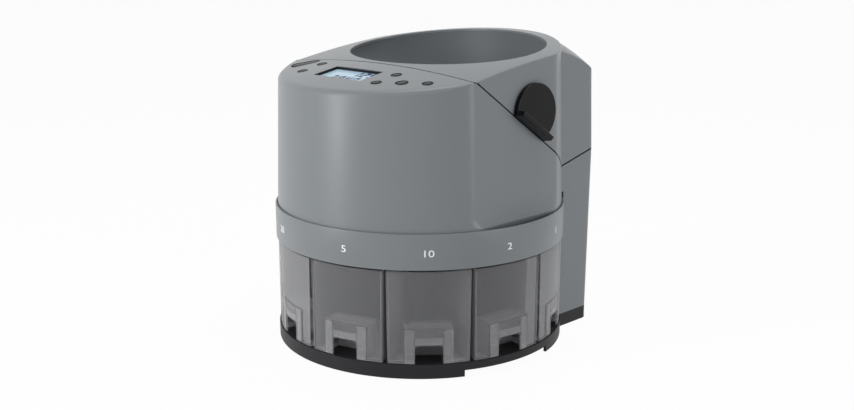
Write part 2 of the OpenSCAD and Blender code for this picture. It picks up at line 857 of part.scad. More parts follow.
module latch_lever() {
    reach = bar_tip + bar_tail;
    color(satin_black) machine() at_lever() difference() {
        union() {
            intersection() {
                translate([0, 0, lever_gap]) cylinder(r = lever_r, h = lever_t);
                translate([-far / 2, -lever_flat, 0]) cube([far, far, far]);
            }
            translate([-bar_tail, -lever_flat, lever_gap]) cube([reach, bar_w, bar_h - lever_gap]);
        }
        translate([0, 0, -cut]) cylinder(r = shaft_r, h = cut + lever_t / 2);
        translate([bar_tip, -lever_flat - cut, bar_h - 3]) rotate([0, -30, 0])
            translate([0, 0, -2 * bar_h]) cube([bar_h, bar_w + 2 * cut, 4 * bar_h]);
    }
}

module latch_shaft() {
    color(steel) machine() at_lever() translate([0, 0, cam_z - 2])
        cylinder(r = shaft_r, h = lever_t / 2 - cam_z + 2);
}

module latch_cam() {
    color(steel) machine() at_lever() translate([0, 0, cam_z]) difference() {
        union() {
            cylinder(r = 8, h = cam_t);
            translate([0, -4, 0]) cube([hook_r + hook_w - 1, 8, cam_t]);
            intersection() {
                ring_tube(hook_r + hook_w, hook_r, 0, cam_t);
                linear_extrude(height = cam_t) polygon([
                    [0, 0],
                    [far, far * tan(5)],
                    [far, 0],
                    [far * cos(hook_angle), -far * sin(hook_angle)]]);
            }
        }
        translate([0, 0, -cut]) cylinder(r = shaft_r, h = cam_t + 2 * cut);
    }
}

module latch_clip() {
    low = cam_z + cam_t + 0.3;
    color(steel) machine() at_lever() difference() {
        translate([0, 0, low]) cylinder(r = 7, h = -wall - 0.3 - low);
        translate([0, 0, low - cut]) cylinder(r = shaft_r, h = cam_t + 2 * cut);
    }
}

module latch_catch() {
    pin_x = catch_at * cos(catch_angle);
    pin_y = catch_at * sin(catch_angle);
    split = (lever_z - split_z + (lever_y - seam_y) * tan(seam_slant)) * cos(seam_slant);
    plate_edge = -split - seam_gap;
    color(steel) machine() at_lever() {
        translate([pin_x - 9, plate_edge - 14, -wall - 1.6]) cube([18, 14, 1.5]);
        translate([pin_x, pin_y, cam_z - 1]) cylinder(r = catch_r, h = 1 - wall - 0.3 - cam_z);
    }
}

module key_outline(k, grow) {
    r = k[1] + grow;
    rotate([0, 0, k[3]]) {
        if (k[2] > 0) {
            square([2 * k[2], 2 * r], center = true);
            for (side = [-1, 1]) translate([side * k[2], 0]) circle(r = r);
        } else {
            circle(r = r);
        }
    }
}

// Depth of the underside of a button ring, clear of the crowned panel above it
function key_low(k) = wall + fit + ring_low
    + (k[2] * cos(k[3]) + k[1] + ring_rim) * abs(k[0][0]) / crown_r;

module button_rings() {
    color(satin_black) machine() for (k = keys) on_panel(k[0][0], k[0][1]) difference() {
        union() {
            translate([0, 0, -key_low(k)]) linear_extrude(height = key_low(k) - ring_sunk) key_outline(k, 0);
            translate([0, 0, -key_low(k)]) linear_extrude(height = ring_low) key_outline(k, ring_rim);
        }
        translate([0, 0, -key_low(k) - cut]) linear_extrude(height = key_low(k) + 2 * cut)
            key_outline(k, -ring_w);
    }
}

module key(k) {
    cap_low = key_low(k) + 0.2;
    flange = 1.2;
    stem = board_depth - sag(k[0][0]) - switch_h - key_travel - 0.2;
    color(satin_black) machine() on_panel(k[0][0], k[0][1]) {
        translate([0, 0, -cap_low]) linear_extrude(height = cap_low + cap_proud)
            key_outline(k, -ring_w - key_gap);
        translate([0, 0, -cap_low - flange]) linear_extrude(height = flange + fit) key_outline(k, 0.3);
        translate([0, 0, -stem]) cylinder(r = stem_r, h = stem - cap_low);
    }
}

module oval_button() key(keys[0]);
module left_rear_button() key(keys[1]);
module left_front_button() key(keys[2]);
module right_front_button() key(keys[3]);
module right_rear_button() key(keys[4]);
module start_button() key(keys[5]);
module right_end_button() key(keys[6]);

module button_switches() {
    color(inner_white) machine() for (k = keys) on_slope()
        translate([k[0][0], (k[0][1] - seam_y) / cos(panel_slope), -board_depth + switch_h / 2])
            cube([switch_w, switch_w, switch_h], center = true);
}

function board_posts() = let (
    front = -sqrt(pow(panel_rim - post_edge, 2) - post_x * post_x),
    rear = seam_y - board_rear - board_screw_edge,
    wide = flat_at(seam_z) - board_edge - 2 * board_screw_edge - 3)
    [[-post_x, front], [post_x, front], [-wide, rear], [wide, rear]];

module control_board() {
    color(board_green) machine() on_slope() difference() {
        translate([0, 0, -board_depth - board_t]) linear_extrude(height = board_t) intersection() {
            translate([0, -seam_y]) circle(r = panel_rim - board_edge);
            translate([-flat_at(seam_z) + board_edge, -far - board_rear])
                square([2 * flat_at(seam_z) - 2 * board_edge, far]);
        }
        for (p = board_posts()) translate([p[0], (p[1] - seam_y) / cos(panel_slope), -board_depth - 3])
            cylinder(r = post_pilot + 0.3, h = 6);
    }
}

module board_screws() {
    head = 1.9;
    color(steel) machine() for (p = board_posts()) on_slope()
        translate([p[0], (p[1] - seam_y) / cos(panel_slope), -board_depth - board_t]) {
            translate([0, 0, -head]) cylinder(r = 2.8, h = head);
            translate([0, 0, -fit]) cylinder(r = post_pilot - 0.05, h = board_t + 5);
        }
}

module display_shroud() {
    rim = 1.3;
    color(satin_black) machine() on_panel(window_x, window_y) difference() {
        translate([-window_w / 2 + fit, -window_d / 2 + fit, -window_depth])
            cube([window_w - 2 * fit, window_d - 2 * fit, window_depth - 2 * ring_sunk]);
        translate([-window_w / 2 + rim, -window_d / 2 + rim, -window_depth - cut])
            cube([window_w - 2 * rim, window_d - 2 * rim, window_depth + 2 * cut]);
    }
}

module display_window() {
    color([0.8, 0.9, 0.95]) machine() on_panel(window_x, window_y)
        translate([-window_w / 2 + fit, -window_d / 2 + fit, -window_depth - glass_t])
            cube([window_w - 2 * fit, window_d - 2 * fit, glass_t]);
}

module display_module() {
    edge = 1;
    depth = board_depth - window_depth - glass_t - sag(window_x);
    color(steel) machine() on_panel(window_x, window_y)
        translate([-window_w / 2 - edge, -window_d / 2 - edge, -window_depth - glass_t - depth])
            cube([window_w + 2 * edge, window_d + 2 * edge, depth]);
}

module sorting_plate() {
    color(steel) machine() difference() {
        union() {
            translate([0, 0, plate_z]) cylinder(r = plate_r, h = plate_t);
            ring_tube(plate_r, plate_r - rail_t, plate_top - fit, plate_top + rail_h);
        }
        for (k = [0 : cups - 1]) rotate([0, 0, cup_turn(k)]) translate([0, -sort_at, plate_z - cut])
            cylinder(r = coin_d[k] / 2 + coin_play, h = plate_t + 2 * cut);
        translate([0, 0, plate_z - cut]) cylinder(r = bush_r + 0.02, h = plate_t + 2 * cut);
    }
}

module coin_chutes() {
    color(inner_white) machine() for (k = [0 : cups - 1]) rotate([0, 0, cup_turn(k)])
        translate([0, -sort_at, 0]) ring_tube(chute_r + chute_wall, chute_r, deck_top, plate_z);
}

module coin_sensors() {
    inner = sort_at - chute_r - chute_wall;
    color(satin_black) machine() for (k = [0 : cups - 1]) rotate([0, 0, cup_turn(k)])
        translate([-sensor_size[0] / 2, -inner, plate_z - sensor_size[2]]) cube(sensor_size);
}

module sorting_rotor() {
    color(inner_white) machine() difference() {
        union() {
            translate([0, 0, rotor_z]) cylinder(r = rotor_r, h = rotor_t);
            translate([0, 0, rotor_z]) cylinder(r = 14, h = finger_t + 1);
            for (k = [0 : rotor_fingers - 1]) rotate([0, 0, 360 * k / rotor_fingers])
                translate([rotor_r - 12, -3, rotor_z]) cube([finger_r - rotor_r + 12, 6, finger_t]);
        }
        translate([0, 0, rotor_z - cut]) cylinder(r = shaft_r, h = finger_t + 3 * cut);
    }
}

module rotor_shaft() {
    color(steel) machine() translate([0, 0, deck_z - 14])
        cylinder(r = shaft_r, h = rotor_z + finger_t + 1 - deck_z + 14);
}

module gear(teeth, bore) {
    pitch = gear_module * teeth / 2;
    root = pitch - 1.25 * gear_module;
    tip = pitch + 0.9 * gear_module;
    step = 360 / teeth;
    difference() {
        linear_extrude(height = gear_face) polygon([for (k = [0 : teeth - 1])
            for (p = [[root, -0.34], [pitch, -0.21], [tip, -0.1], [tip, 0.1], [pitch, 0.21], [root, 0.34]])
                [p[0] * cos((k + p[1]) * step), p[0] * sin((k + p[1]) * step)]]);
        translate([0, 0, -cut]) cylinder(r = bore, h = gear_face + 2 * cut);
    }
}

module rotor_gear() {
    color(inner_white) machine() translate([0, 0, gear_z]) rotate([0, 0, 90]) gear(gear_teeth, shaft_r);
}

module motor_pinion() {
    shaft_low = motor_top - 9;
    color(brass) machine() translate([0, motor_y, 0]) {
        translate([0, 0, gear_z]) rotate([0, 0, 270 + 180 / pinion_teeth])
            gear(pinion_teeth, motor_shaft_r - fit);
        translate([0, 0, shaft_low]) cylinder(r = motor_shaft_r, h = gear_z + gear_face - shaft_low);
    }
}

module rotor_bearings() {
    color(brass) machine() {
        ring_tube(bush_r, shaft_r + run_gap, deck_z - 2, deck_top);
        ring_tube(bush_r + 2, shaft_r + run_gap, deck_top, gear_z - 0.3);
        ring_tube(bush_r, shaft_r + run_gap, plate_z, plate_top);
        ring_tube(bush_r + 2, shaft_r + run_gap, plate_z - 2, plate_z);
    }
}

module sorter_motor() {
    color(steel) machine() translate([0, motor_y, 0]) difference() {
        union() {
            translate([0, 0, motor_top - motor_h]) cylinder(r = motor_r, h = motor_h);
            translate([-motor_r - 8, -8, motor_top]) cube([2 * motor_r + 16, 16, deck_z - motor_top]);
            translate([0, 0, motor_top]) cylinder(r = 10, h = deck_z - motor_top);
        }
        translate([0, 0, motor_top - 10]) cylinder(r = motor_shaft_r + run_gap, h = 20);
    }
}

module transformer() {
    mid = core_leg + core_slot;
    coil = [core_leg + 2 * coil_wall, core_size[1] + 2 * coil_proud, core_size[2] - 2 * core_yoke - 2];
    color([0.5, 0.5, 0.52]) machine() translate([core_x, tower_y - core_behind - core_size[1] / 2, base_h]) {
        difference() {
            translate([-core_size[0] / 2, -core_size[1] / 2, 0]) cube(core_size);
            for (side = [-1, 1])
                translate([side * mid / 2 - core_slot / 2, -core_size[1] / 2 - cut, core_yoke])
                    cube([core_slot, core_size[1] + 2 * cut, core_size[2] - 2 * core_yoke]);
        }
        difference() {
            translate([-coil[0] / 2, -coil[1] / 2, core_yoke + 1]) cube(coil);
            translate([-core_leg / 2 - fit, -core_size[1] / 2 - fit, core_yoke])
                cube([core_leg + 2 * fit, core_size[1] + 2 * fit, core_size[2]]);
        }
    }
}

module main_board() {
    chip = 16;
    can_r = 5;
    top = board_t - fit;
    color(board_green) machine() translate([main_at[0], main_at[1], base_h + main_lift]) {
        cube([main_size[0], main_size[1], board_t]);
        translate([8, 26, top]) cube([chip, chip, 4]);
        translate([34, 8, top]) cube([24, 10, 3]);
        for (x = [34, 48]) translate([x, 32, top]) cylinder(r = can_r, h = 18);
        translate([6, 8, top]) cube([14, 8, 9]);
    }
}

// Flanged box in the rear wall with a hollow that opens to the rear
module socket(x, body, hollow, deep, lip) {
    back = 3;
    front = wall / 2 + 0.05;
    on_rear(x) difference() {
        union() {
            translate([-body[0] / 2 - socket_rim, front, -body[1] / 2 - socket_rim])
                cube([body[0] + 2 * socket_rim, lip, body[1] + 2 * socket_rim]);
            translate([-body[0] / 2, -deep - back, -body[1] / 2])
                cube([body[0], deep + back + front + fit, body[1]]);
        }
        translate([-hollow[0] / 2, -deep, -hollow[1] / 2]) cube([hollow[0], deep + far, hollow[1]]);
    }
}

module socket_cut(x, body) {
    on_rear(x) cube([body[0] + 2 * socket_gap, 4 * wall, body[1] + 2 * socket_gap], center = true);
}

module mains_inlet() {
    blade = [1.6, 9, 5];
    color(satin_black) machine() {
        socket(inlet_x, inlet_body, inlet_hollow, inlet_deep, 2);
        on_rear(inlet_x) for (p = [[-7, -2], [0, 2], [7, -2]])
            translate([p[0] - blade[0] / 2, -inlet_deep - fit, p[1] - blade[2] / 2]) cube(blade);
    }
}

module switch_frame() {
    color(satin_black) machine() difference() {
        socket(switch_x, switch_body, switch_hollow, 12, 1.5);
        on_rear(switch_x) rocker_pin(rocker_pin_r + run_gap, switch_body[0] + 2 * cut);
    }
}

// Round bar across the switch, on the axis of the rocker
module rocker_pin(r, long) {
    translate([-long / 2, rocker_pivot, 0]) rotate([0, 90, 0]) cylinder(r = r, h = long);
}

module power_rocker() {
    color(satin_black) machine() on_rear(switch_x) {
        rocker_pin(rocker_pin_r, switch_body[0] - 2 * rocker_side);
        translate([0, rocker_pivot, 0]) rotate([rocker_tilt, 0, 0]) rotate([90, 0, 90])
            linear_extrude(height = switch_hollow[0] - 2 * rocker_side, center = true) polygon([
                [-3, -3],
                [4.2, -6.2],
                [3.6, 0],
                [4.2, 6.2],
                [-3, 3]]);
    }
}

module data_port() {
    color(satin_black) machine() socket(port_x, port_body, port_hollow, 10, 1.2);
}

// Wedge between two dividers, pulled in by inset and by the cup gap
module cup_block(inset, outer, inner, low, high) {
    difference() {
        translate([0, 0, low]) cylinder(r = outer, h = high - low, $fn = 180);
        translate([0, 0, low - cut]) cylinder(r = inner, h = high - low + 2 * cut);
        for (side = [0, 1]) mirror([side, 0, 0]) rotate([0, 0, cup_pitch / 2])
            translate([-cup_gap / 2 - inset, 0, cup_top]) rotate([0, cup_draft, 0])
                translate([0, -far / 2, -far / 2]) cube([far, far, far]);
    }
}

module pocket_box(half, depth, low, high) {
    translate([-half, -cup_r - cut, low]) cube([2 * half, depth + cut, high - low]);
}

module cup(k) {
    chamfer_x = 4;
    chamfer_z = 2;
    color(smoke) machine() rotate([0, 0, cup_turn(k)]) difference() {
        union() {
            difference() {
                cup_block(0, cup_r, cup_back_r, cup_z, cup_top);
                cup_block(cup_wall, cup_r - cup_wall, cup_back_r + cup_wall, cup_z + cup_wall, cup_top + cut);
            }
            intersection() {
                cup_block(cup_wall / 2, cup_r - cup_wall / 2, cup_back_r + cup_wall, cup_z, cup_top);
                pocket_box(pocket_w / 2, pocket_d, cup_z, cup_z + pocket_h);
            }
        }
        intersection() {
            translate([0, 0, cup_z - cut]) cylinder(r = cup_r - cup_wall, h = pocket_h + cut);
            pocket_box(pocket_w / 2 - cup_wall, pocket_d - cup_wall,
                cup_z - cut, cup_z + pocket_h - cup_wall);
        }
        translate([0, -cup_r + 2 * cup_wall, 0]) rotate([90, 0, 0]) linear_extrude(height = far) polygon([
            [-grip_w / 2, cup_z - cut],
            [grip_w / 2, cup_z - cut],
            [grip_w / 2, cup_z + grip_h - chamfer_z],
            [grip_w / 2 - chamfer_x, cup_z + grip_h],
            [-grip_w / 2 + chamfer_x, cup_z + grip_h],
            [-grip_w / 2, cup_z + grip_h - chamfer_z]]);
    }
}

module cup_1() cup(0);
module cup_2() cup(1);
module cup_10() cup(2);
module cup_5() cup(3);
module cup_20() cup(4);
module cup_100() cup(5);
module cup_50() cup(6);
module cup_200() cup(7);

base_tray();
rubber_feet();
base_screws();
cup_bay_core();
cup_dividers();
chute_deck();
label_ring();
front_housing();
rear_cover();
hopper_housing();
hopper_bowl();
feed_chute();
feed_disc();
feed_motor();
hinge_pin();
hinge_bracket();
hinge_leaf();
latch_lever();
latch_shaft();
latch_cam();
latch_clip();
latch_catch();
display_window();
display_module();
display_shroud();
control_board();
button_switches();
button_rings();
board_screws();
oval_button();
left_rear_button();
left_front_button();
right_front_button();
right_rear_button();
start_button();
right_end_button();
sorting_plate();
coin_chutes();
coin_sensors();
sorting_rotor();
rotor_shaft();
rotor_gear();
rotor_bearings();
sorter_motor();
motor_pinion();
transformer();
main_board();
mains_inlet();
switch_frame();
power_rocker();
data_port();
cup_1();
cup_2();
cup_10();
cup_5();
cup_20();
cup_100();
cup_50();
cup_200();
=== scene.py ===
import json
import math

import bmesh
import bpy
import numpy as np
from mathutils import Matrix, Vector
from mathutils.geometry import delaunay_2d_cdt


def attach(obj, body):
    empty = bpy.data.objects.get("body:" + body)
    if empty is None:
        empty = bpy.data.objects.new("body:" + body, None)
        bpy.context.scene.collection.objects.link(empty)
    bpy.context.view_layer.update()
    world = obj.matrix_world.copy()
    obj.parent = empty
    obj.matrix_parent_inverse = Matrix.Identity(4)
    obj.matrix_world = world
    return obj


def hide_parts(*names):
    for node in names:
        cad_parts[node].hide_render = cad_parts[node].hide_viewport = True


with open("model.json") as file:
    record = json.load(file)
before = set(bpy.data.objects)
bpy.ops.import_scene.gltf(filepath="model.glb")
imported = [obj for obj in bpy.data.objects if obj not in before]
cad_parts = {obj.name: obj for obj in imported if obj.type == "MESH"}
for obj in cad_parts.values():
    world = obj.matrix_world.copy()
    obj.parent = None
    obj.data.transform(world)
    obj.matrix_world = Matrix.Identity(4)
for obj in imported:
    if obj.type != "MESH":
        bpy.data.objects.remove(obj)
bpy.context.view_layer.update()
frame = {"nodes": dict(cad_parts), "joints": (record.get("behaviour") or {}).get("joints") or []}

# ---- Camera and table ----
# The machine stands alone on a white table, seen from its front right corner, a little above
# the control panel. Places are in millimetres from the drum axis, with z up from the table.

MM = 0.001
joints = {j["name"]: j for j in frame["joints"]}
axis_y = joints["rotor_spin"]["pos_m"][1] / MM


def at(x, y, z):
    return Vector((x, y + axis_y, z)) * MM


camera_data = bpy.data.cameras.new("photo_camera")
camera_data.sensor_width = 36
camera_data.lens = 46.52
camera_data.clip_start = 0.05
camera = bpy.data.objects.new("photo_camera", camera_data)
camera.location = at(889.2, -860.6, 450.6)
camera.rotation_euler = (math.radians(76.24), 0, math.radians(45.56))
bpy.context.scene.collection.objects.link(camera)
bpy.context.scene.camera = camera
bpy.context.scene.view_settings.view_transform = "Standard"


def new_material(name):
    made = bpy.data.materials.new(name)
    made.use_nodes = True
    return made, made.node_tree.nodes, made.node_tree.links


def white_to_camera(nodes, links, shader, share, output):
    """Shows plain white to the camera and in gloss and glass, and the shader to everything else."""
    path = nodes.new("ShaderNodeLightPath")
    seen = nodes.new("ShaderNodeMath")
    seen.operation = "MAXIMUM"
    links.new(path.outputs["Is Camera Ray"], seen.inputs[0])
    mirrored_too = nodes.new("ShaderNodeMath")
    mirrored_too.operation = "MAXIMUM"
    links.new(path.outputs["Is Glossy Ray"], mirrored_too.inputs[0])
    links.new(path.outputs["Is Transmission Ray"], mirrored_too.inputs[1])
    links.new(mirrored_too.outputs[0], seen.inputs[1])
    part = nodes.new("ShaderNodeMath")
    part.operation = "MULTIPLY"
    part.inputs[1].default_value = share
    links.new(seen.outputs[0], part.inputs[0])
    white = nodes.new("ShaderNodeEmission" if output == "Surface" else "ShaderNodeBackground")
    white.inputs["Strength"].default_value = 1
    white.inputs["Color"].default_value = (1, 1, 1, 1)
    mix = nodes.new("ShaderNodeMixShader")
    links.new(part.outputs[0], mix.inputs[0])
    links.new(shader, mix.inputs[1])
    links.new(white.outputs[0], mix.inputs[2])
    return mix.outputs[0]


table_paint, nodes, links = new_material("table_white")
table_shader = nodes["Principled BSDF"]
table_shader.inputs["Base Color"].default_value = (0.8, 0.8, 0.8, 1)
table_shader.inputs["Roughness"].default_value = 0.8
table_white_share = 0.96
table_seen = white_to_camera(nodes, links, table_shader.outputs[0], table_white_share, "Surface")
links.new(table_seen, nodes["Material Output"].inputs["Surface"])

table_mesh = bpy.data.meshes.new("table")
half_table = 40
table_corners = [(-half_table, -half_table, 0), (half_table, -half_table, 0),
                 (half_table, half_table, 0), (-half_table, half_table, 0)]
table_mesh.from_pydata(table_corners, [], [(0, 1, 2, 3)])
table_mesh.materials.append(table_paint)
table = bpy.data.objects.new("table", table_mesh)
table.location.z = -0.2 * MM
bpy.context.scene.collection.objects.link(table)

world = bpy.data.worlds.new("studio")
bpy.context.scene.world = world
world.use_nodes = True
nodes, links = world.node_tree.nodes, world.node_tree.links
room = nodes["Background"]
room.inputs["Color"].default_value = (1, 1, 1, 1)
room.inputs["Strength"].default_value = 0.2
room_seen = white_to_camera(nodes, links, room.outputs[0], 1, "World")
links.new(room_seen, nodes["World Output"].inputs["Surface"])


def soft_box(name, place, aim, size, power):
    data = bpy.data.lights.new(name, "AREA")
    data.shape = "RECTANGLE"
    data.size, data.size_y = size
    data.energy = power
    lamp = bpy.data.objects.new(name, data)
    lamp.location = place
    lamp.rotation_euler = (Vector(aim) - Vector(place)).to_track_quat("-Z", "Y").to_euler()
    bpy.context.scene.collection.objects.link(lamp)


middle = (0, 0, 0.18)
soft_box("key_light", (-0.62, -1.85, 0.45), middle, (0.26, 1.5), 36)
soft_box("side_light", (2.0, 0.4, 0.4), middle, (0.8, 1.2), 18)
soft_box("top_light", (0.0, 0.2, 2.2), middle, (1.4, 1.4), 24)

# ---- Base ----
# Black moulded tray of satin plastic on six rubber feet: deck, skirt with two finger notches,
# ribs and bosses underneath, and five screws up into the core of the cup bay.


def moulded(name, color, rough, bump=0.12, spread=0.05, shine=0.3):
    """Moulded plastic with fine spark grain, a little uneven in tone and gloss."""
    made, nodes, links = new_material(name)
    shader = nodes["Principled BSDF"]
    shader.inputs["Roughness"].default_value = rough
    shader.inputs["IOR"].default_value = 1.48
    shader.inputs["Specular IOR Level"].default_value = shine
    place = nodes.new("ShaderNodeTexCoord")
    fine = nodes.new("ShaderNodeTexNoise")
    fine.inputs["Scale"].default_value = 2600
    fine.inputs["Detail"].default_value = 2
    links.new(place.outputs["Object"], fine.inputs["Vector"])
    relief = nodes.new("ShaderNodeBump")
    relief.inputs["Strength"].default_value = bump
    relief.inputs["Distance"].default_value = 0.0002
    links.new(fine.outputs["Fac"], relief.inputs["Height"])
    links.new(relief.outputs["Normal"], shader.inputs["Normal"])
    cloud = nodes.new("ShaderNodeTexNoise")
    cloud.inputs["Scale"].default_value = 14
    cloud.inputs["Detail"].default_value = 4
    links.new(place.outputs["Object"], cloud.inputs["Vector"])
    gloss = nodes.new("ShaderNodeMapRange")
    gloss.inputs["To Min"].default_value = rough - spread
    gloss.inputs["To Max"].default_value = rough + spread
    links.new(cloud.outputs["Fac"], gloss.inputs["Value"])
    links.new(gloss.outputs["Result"], shader.inputs["Roughness"])
    tone = nodes.new("ShaderNodeMix")
    tone.data_type = "RGBA"
    tone.inputs["A"].default_value = (*[c * 0.95 for c in color], 1)
    tone.inputs["B"].default_value = (*[min(c * 1.05, 1) for c in color], 1)
    links.new(fine.outputs["Fac"], tone.inputs["Factor"])
    links.new(tone.outputs["Result"], shader.inputs["Base Color"])
    return made


shade_group = bpy.data.node_groups.new("smooth_by_angle", "GeometryNodeTree")
shade_group.interface.new_socket("Geometry", in_out="INPUT", socket_type="NodeSocketGeometry")
shade_group.interface.new_socket("Geometry", in_out="OUTPUT", socket_type="NodeSocketGeometry")
enter = shade_group.nodes.new("NodeGroupInput")
leave = shade_group.nodes.new("NodeGroupOutput")
faces_smooth = shade_group.nodes.new("GeometryNodeSetShadeSmooth")
edges_sharp = shade_group.nodes.new("GeometryNodeSetShadeSmooth")
edges_sharp.domain = "EDGE"
edges_sharp.inputs["Shade Smooth"].default_value = False
bend = shade_group.nodes.new("GeometryNodeInputMeshEdgeAngle")
steep = shade_group.nodes.new("FunctionNodeCompare")
steep.operation = "GREATER_THAN"
steep.inputs["B"].default_value = math.radians(28)
shade_group.links.new(enter.outputs[0], faces_smooth.inputs[0])
shade_group.links.new(faces_smooth.outputs[0], edges_sharp.inputs[0])
shade_group.links.new(bend.outputs["Unsigned Angle"], steep.inputs["A"])
shade_group.links.new(steep.outputs[0], edges_sharp.inputs["Selection"])
shade_group.links.new(edges_sharp.outputs[0], leave.inputs[0])


def finish_node(name, material, edge=0.3):
    """Gives a carried-over node its material and rounds its sharp edges, edge in millimetres."""
    node = frame["nodes"][name]
    node.data.materials.clear()
    node.data.materials.append(material)
    weld = node.modifiers.new("weld", "WELD")
    weld.merge_threshold = 0.000002
    flat = node.modifiers.new("flat", "DECIMATE")
    flat.decimate_type = "DISSOLVE"
    flat.angle_limit = math.radians(0.5)
    smooth = node.modifiers.new("smooth", "NODES")
    smooth.node_group = shade_group
    if edge:
        round_off = node.modifiers.new("edges", "BEVEL")
        round_off.width = edge * MM
        round_off.segments = 2
        round_off.limit_method = "ANGLE"
        round_off.angle_limit = math.radians(40)
        round_off.harden_normals = True


base_black = moulded("base_black", (0.015, 0.015, 0.017), 0.5, shine=0.2)
foot_rubber = moulded("foot_rubber", (0.02, 0.02, 0.02), 0.85, bump=0.3)


def plated(name, color, rough):
    """Bare metal with fine drawn lines along one way."""
    made, nodes, links = new_material(name)
    shader = nodes["Principled BSDF"]
    shader.inputs["Metallic"].default_value = 1
    shader.inputs["Base Color"].default_value = (*color, 1)
    place = nodes.new("ShaderNodeTexCoord")
    lines = nodes.new("ShaderNodeMapping")
    lines.inputs["Scale"].default_value = (40, 40, 3000)
    links.new(place.outputs["Object"], lines.inputs["Vector"])
    streak = nodes.new("ShaderNodeTexNoise")
    streak.inputs["Scale"].default_value = 1
    links.new(lines.outputs["Vector"], streak.inputs["Vector"])
    gloss = nodes.new("ShaderNodeMapRange")
    gloss.inputs["To Min"].default_value = rough - 0.08
    gloss.inputs["To Max"].default_value = rough + 0.1
    links.new(streak.outputs["Fac"], gloss.inputs["Value"])
    links.new(gloss.outputs["Result"], shader.inputs["Roughness"])
    return made


zinc = plated("zinc_plate", (0.6, 0.61, 0.63), 0.32)
finish_node("base_tray", base_black, 0.6)
finish_node("rubber_feet", foot_rubber, 0.8)
finish_node("base_screws", zinc, 0.2)

# ---- Cup bay ----
# Black core, nine dividers and the deck over the cups, which carries the coin chutes. They are
# screwed to the base and show as dark lines between the cups.

bay_black = moulded("bay_black", (0.012, 0.012, 0.014), 0.55)
finish_node("cup_bay_core", bay_black, 0.3)
finish_node("cup_dividers", bay_black, 0.3)
finish_node("chute_deck", base_black, 0.3)

# ---- Front housing ----
# The drum below the hopper and the sloped key panel are one grey satin moulding with a 2.5 mm
# wall. Its sides are cut flat and flare out at the foot, its rim is rounded, and the panel has
# openings for the display and the keys.

WALL = 2.5
HALF_SEAM = 1.0
DRAFT_ANGLE = math.radians(1.78)
DRAFT = math.tan(DRAFT_ANGLE)
RING_TOP = 157.1
DRUM_R = 162.1
FLAT_X = 148
CORNER_R = 2
FLARE_R = 13
FLARE_TOP, FLARE_EDGE = 169, 159
FOOT_X = 151.6
SLOPE = math.radians(10.6)
PANEL_Y, PANEL_Z = -62, 316.013
CROWN_R = 1310

housing_grey = moulded("housing_grey", (0.185, 0.2, 0.21), 0.34)


def soft_max(a, b, r):
    """The larger of two distances, with the edge between them rounded to radius r."""
    return np.where((a > -r) & (b > -r), np.hypot(a + r, b + r) - r, np.maximum(a, b))


def drum_radius(z):
    return DRUM_R - (z - RING_TOP) * DRAFT


def drum_side(z):
    """Half width over the flat sides, which flare out at the foot to an edge."""
    foot = np.clip(FLARE_TOP - z, 0, FLARE_TOP - FLARE_EDGE)
    flare = FLAT_X - (z - RING_TOP) * DRAFT + FLARE_R - np.sqrt(FLARE_R * FLARE_R - foot * foot)
    return np.where(z < FLARE_EDGE, FOOT_X, flare)


def drum_wall(x, y, z):
    return soft_max(np.hypot(x, y) - drum_radius(z), np.abs(x) - drum_side(z), CORNER_R)


TOWER_FOOT = 16.5
TOWER_HALF = 118.5
TOWER_DRAFT = math.tan(math.radians(1.84))
TOWER_CORNER = 10
REAR_FOOT_Y, REAR_BEND_Y = 167.6, 178.992
REAR_BEND = 208.25
REAR_LEAN = math.radians(3.4)
REAR_DRAFT = math.tan(math.radians(0.87))


def tower_side(z):
    """Half width of the rear tower."""
    return TOWER_HALF - (z - TOWER_FOOT) * TOWER_DRAFT


def tower_rear(z):
    """Depth of the rear wall, which leans out up to a bend and in above it."""
    low = REAR_FOOT_Y + (z - TOWER_FOOT) * math.tan(REAR_LEAN)
    return np.where(z < REAR_BEND, low, REAR_BEND_Y - (z - REAR_BEND) * REAR_DRAFT)


def tower_wall(x, y, z):
    a = np.abs(x) - tower_side(z) + TOWER_CORNER
    b = y - tower_rear(z) + TOWER_CORNER
    return np.hypot(np.maximum(a, 0), np.maximum(b, 0)) + np.minimum(np.maximum(a, b), 0) - TOWER_CORNER


def panel_skin(x, y, z):
    """Distance above the key panel, which slopes to the front and is crowned across."""
    up = (z - PANEL_Z) * math.cos(SLOPE) - (y - PANEL_Y) * math.sin(SLOPE)
    return np.hypot(x, up + CROWN_R) - CROWN_R


def panel_height(x, y):
    sink = CROWN_R - np.sqrt(CROWN_R * CROWN_R - x * x)
    along = (y - PANEL_Y - sink * math.sin(SLOPE)) / math.cos(SLOPE)
    return PANEL_Z + along * math.sin(SLOPE) - sink * math.cos(SLOPE)


def solve(low, high, value):
    """Where value goes from below zero at low to above zero at high."""
    for _ in range(44):
        middle = (low + high) / 2
        out = value(middle) > 0
        high = np.where(out, middle, high)
        low = np.where(out, low, middle)
    return (low + high) / 2


SEAM_FALL, SEAM_RISE = math.radians(35), math.radians(13.5)
SEAM_BEND = 106.8
SEAM_AT_PANEL, SEAM_AT_BEND = 309.113, 190.918


def seam_height(y):
    """Height of the middle of the seam between the drum and the hopper at depth y."""
    side = SEAM_AT_PANEL - (y - PANEL_Y) * math.tan(SEAM_FALL)
    rear = SEAM_AT_BEND + (y - SEAM_BEND) * math.tan(SEAM_RISE)
    return np.where(y < SEAM_BEND, side, rear)


PANEL_REAR, HOPPER_FRONT = PANEL_Y - HALF_SEAM, PANEL_Y + HALF_SEAM
SPLIT_TOP, SPLIT_CORNER = 306, 65.2
DRUM_TOP = 324.5


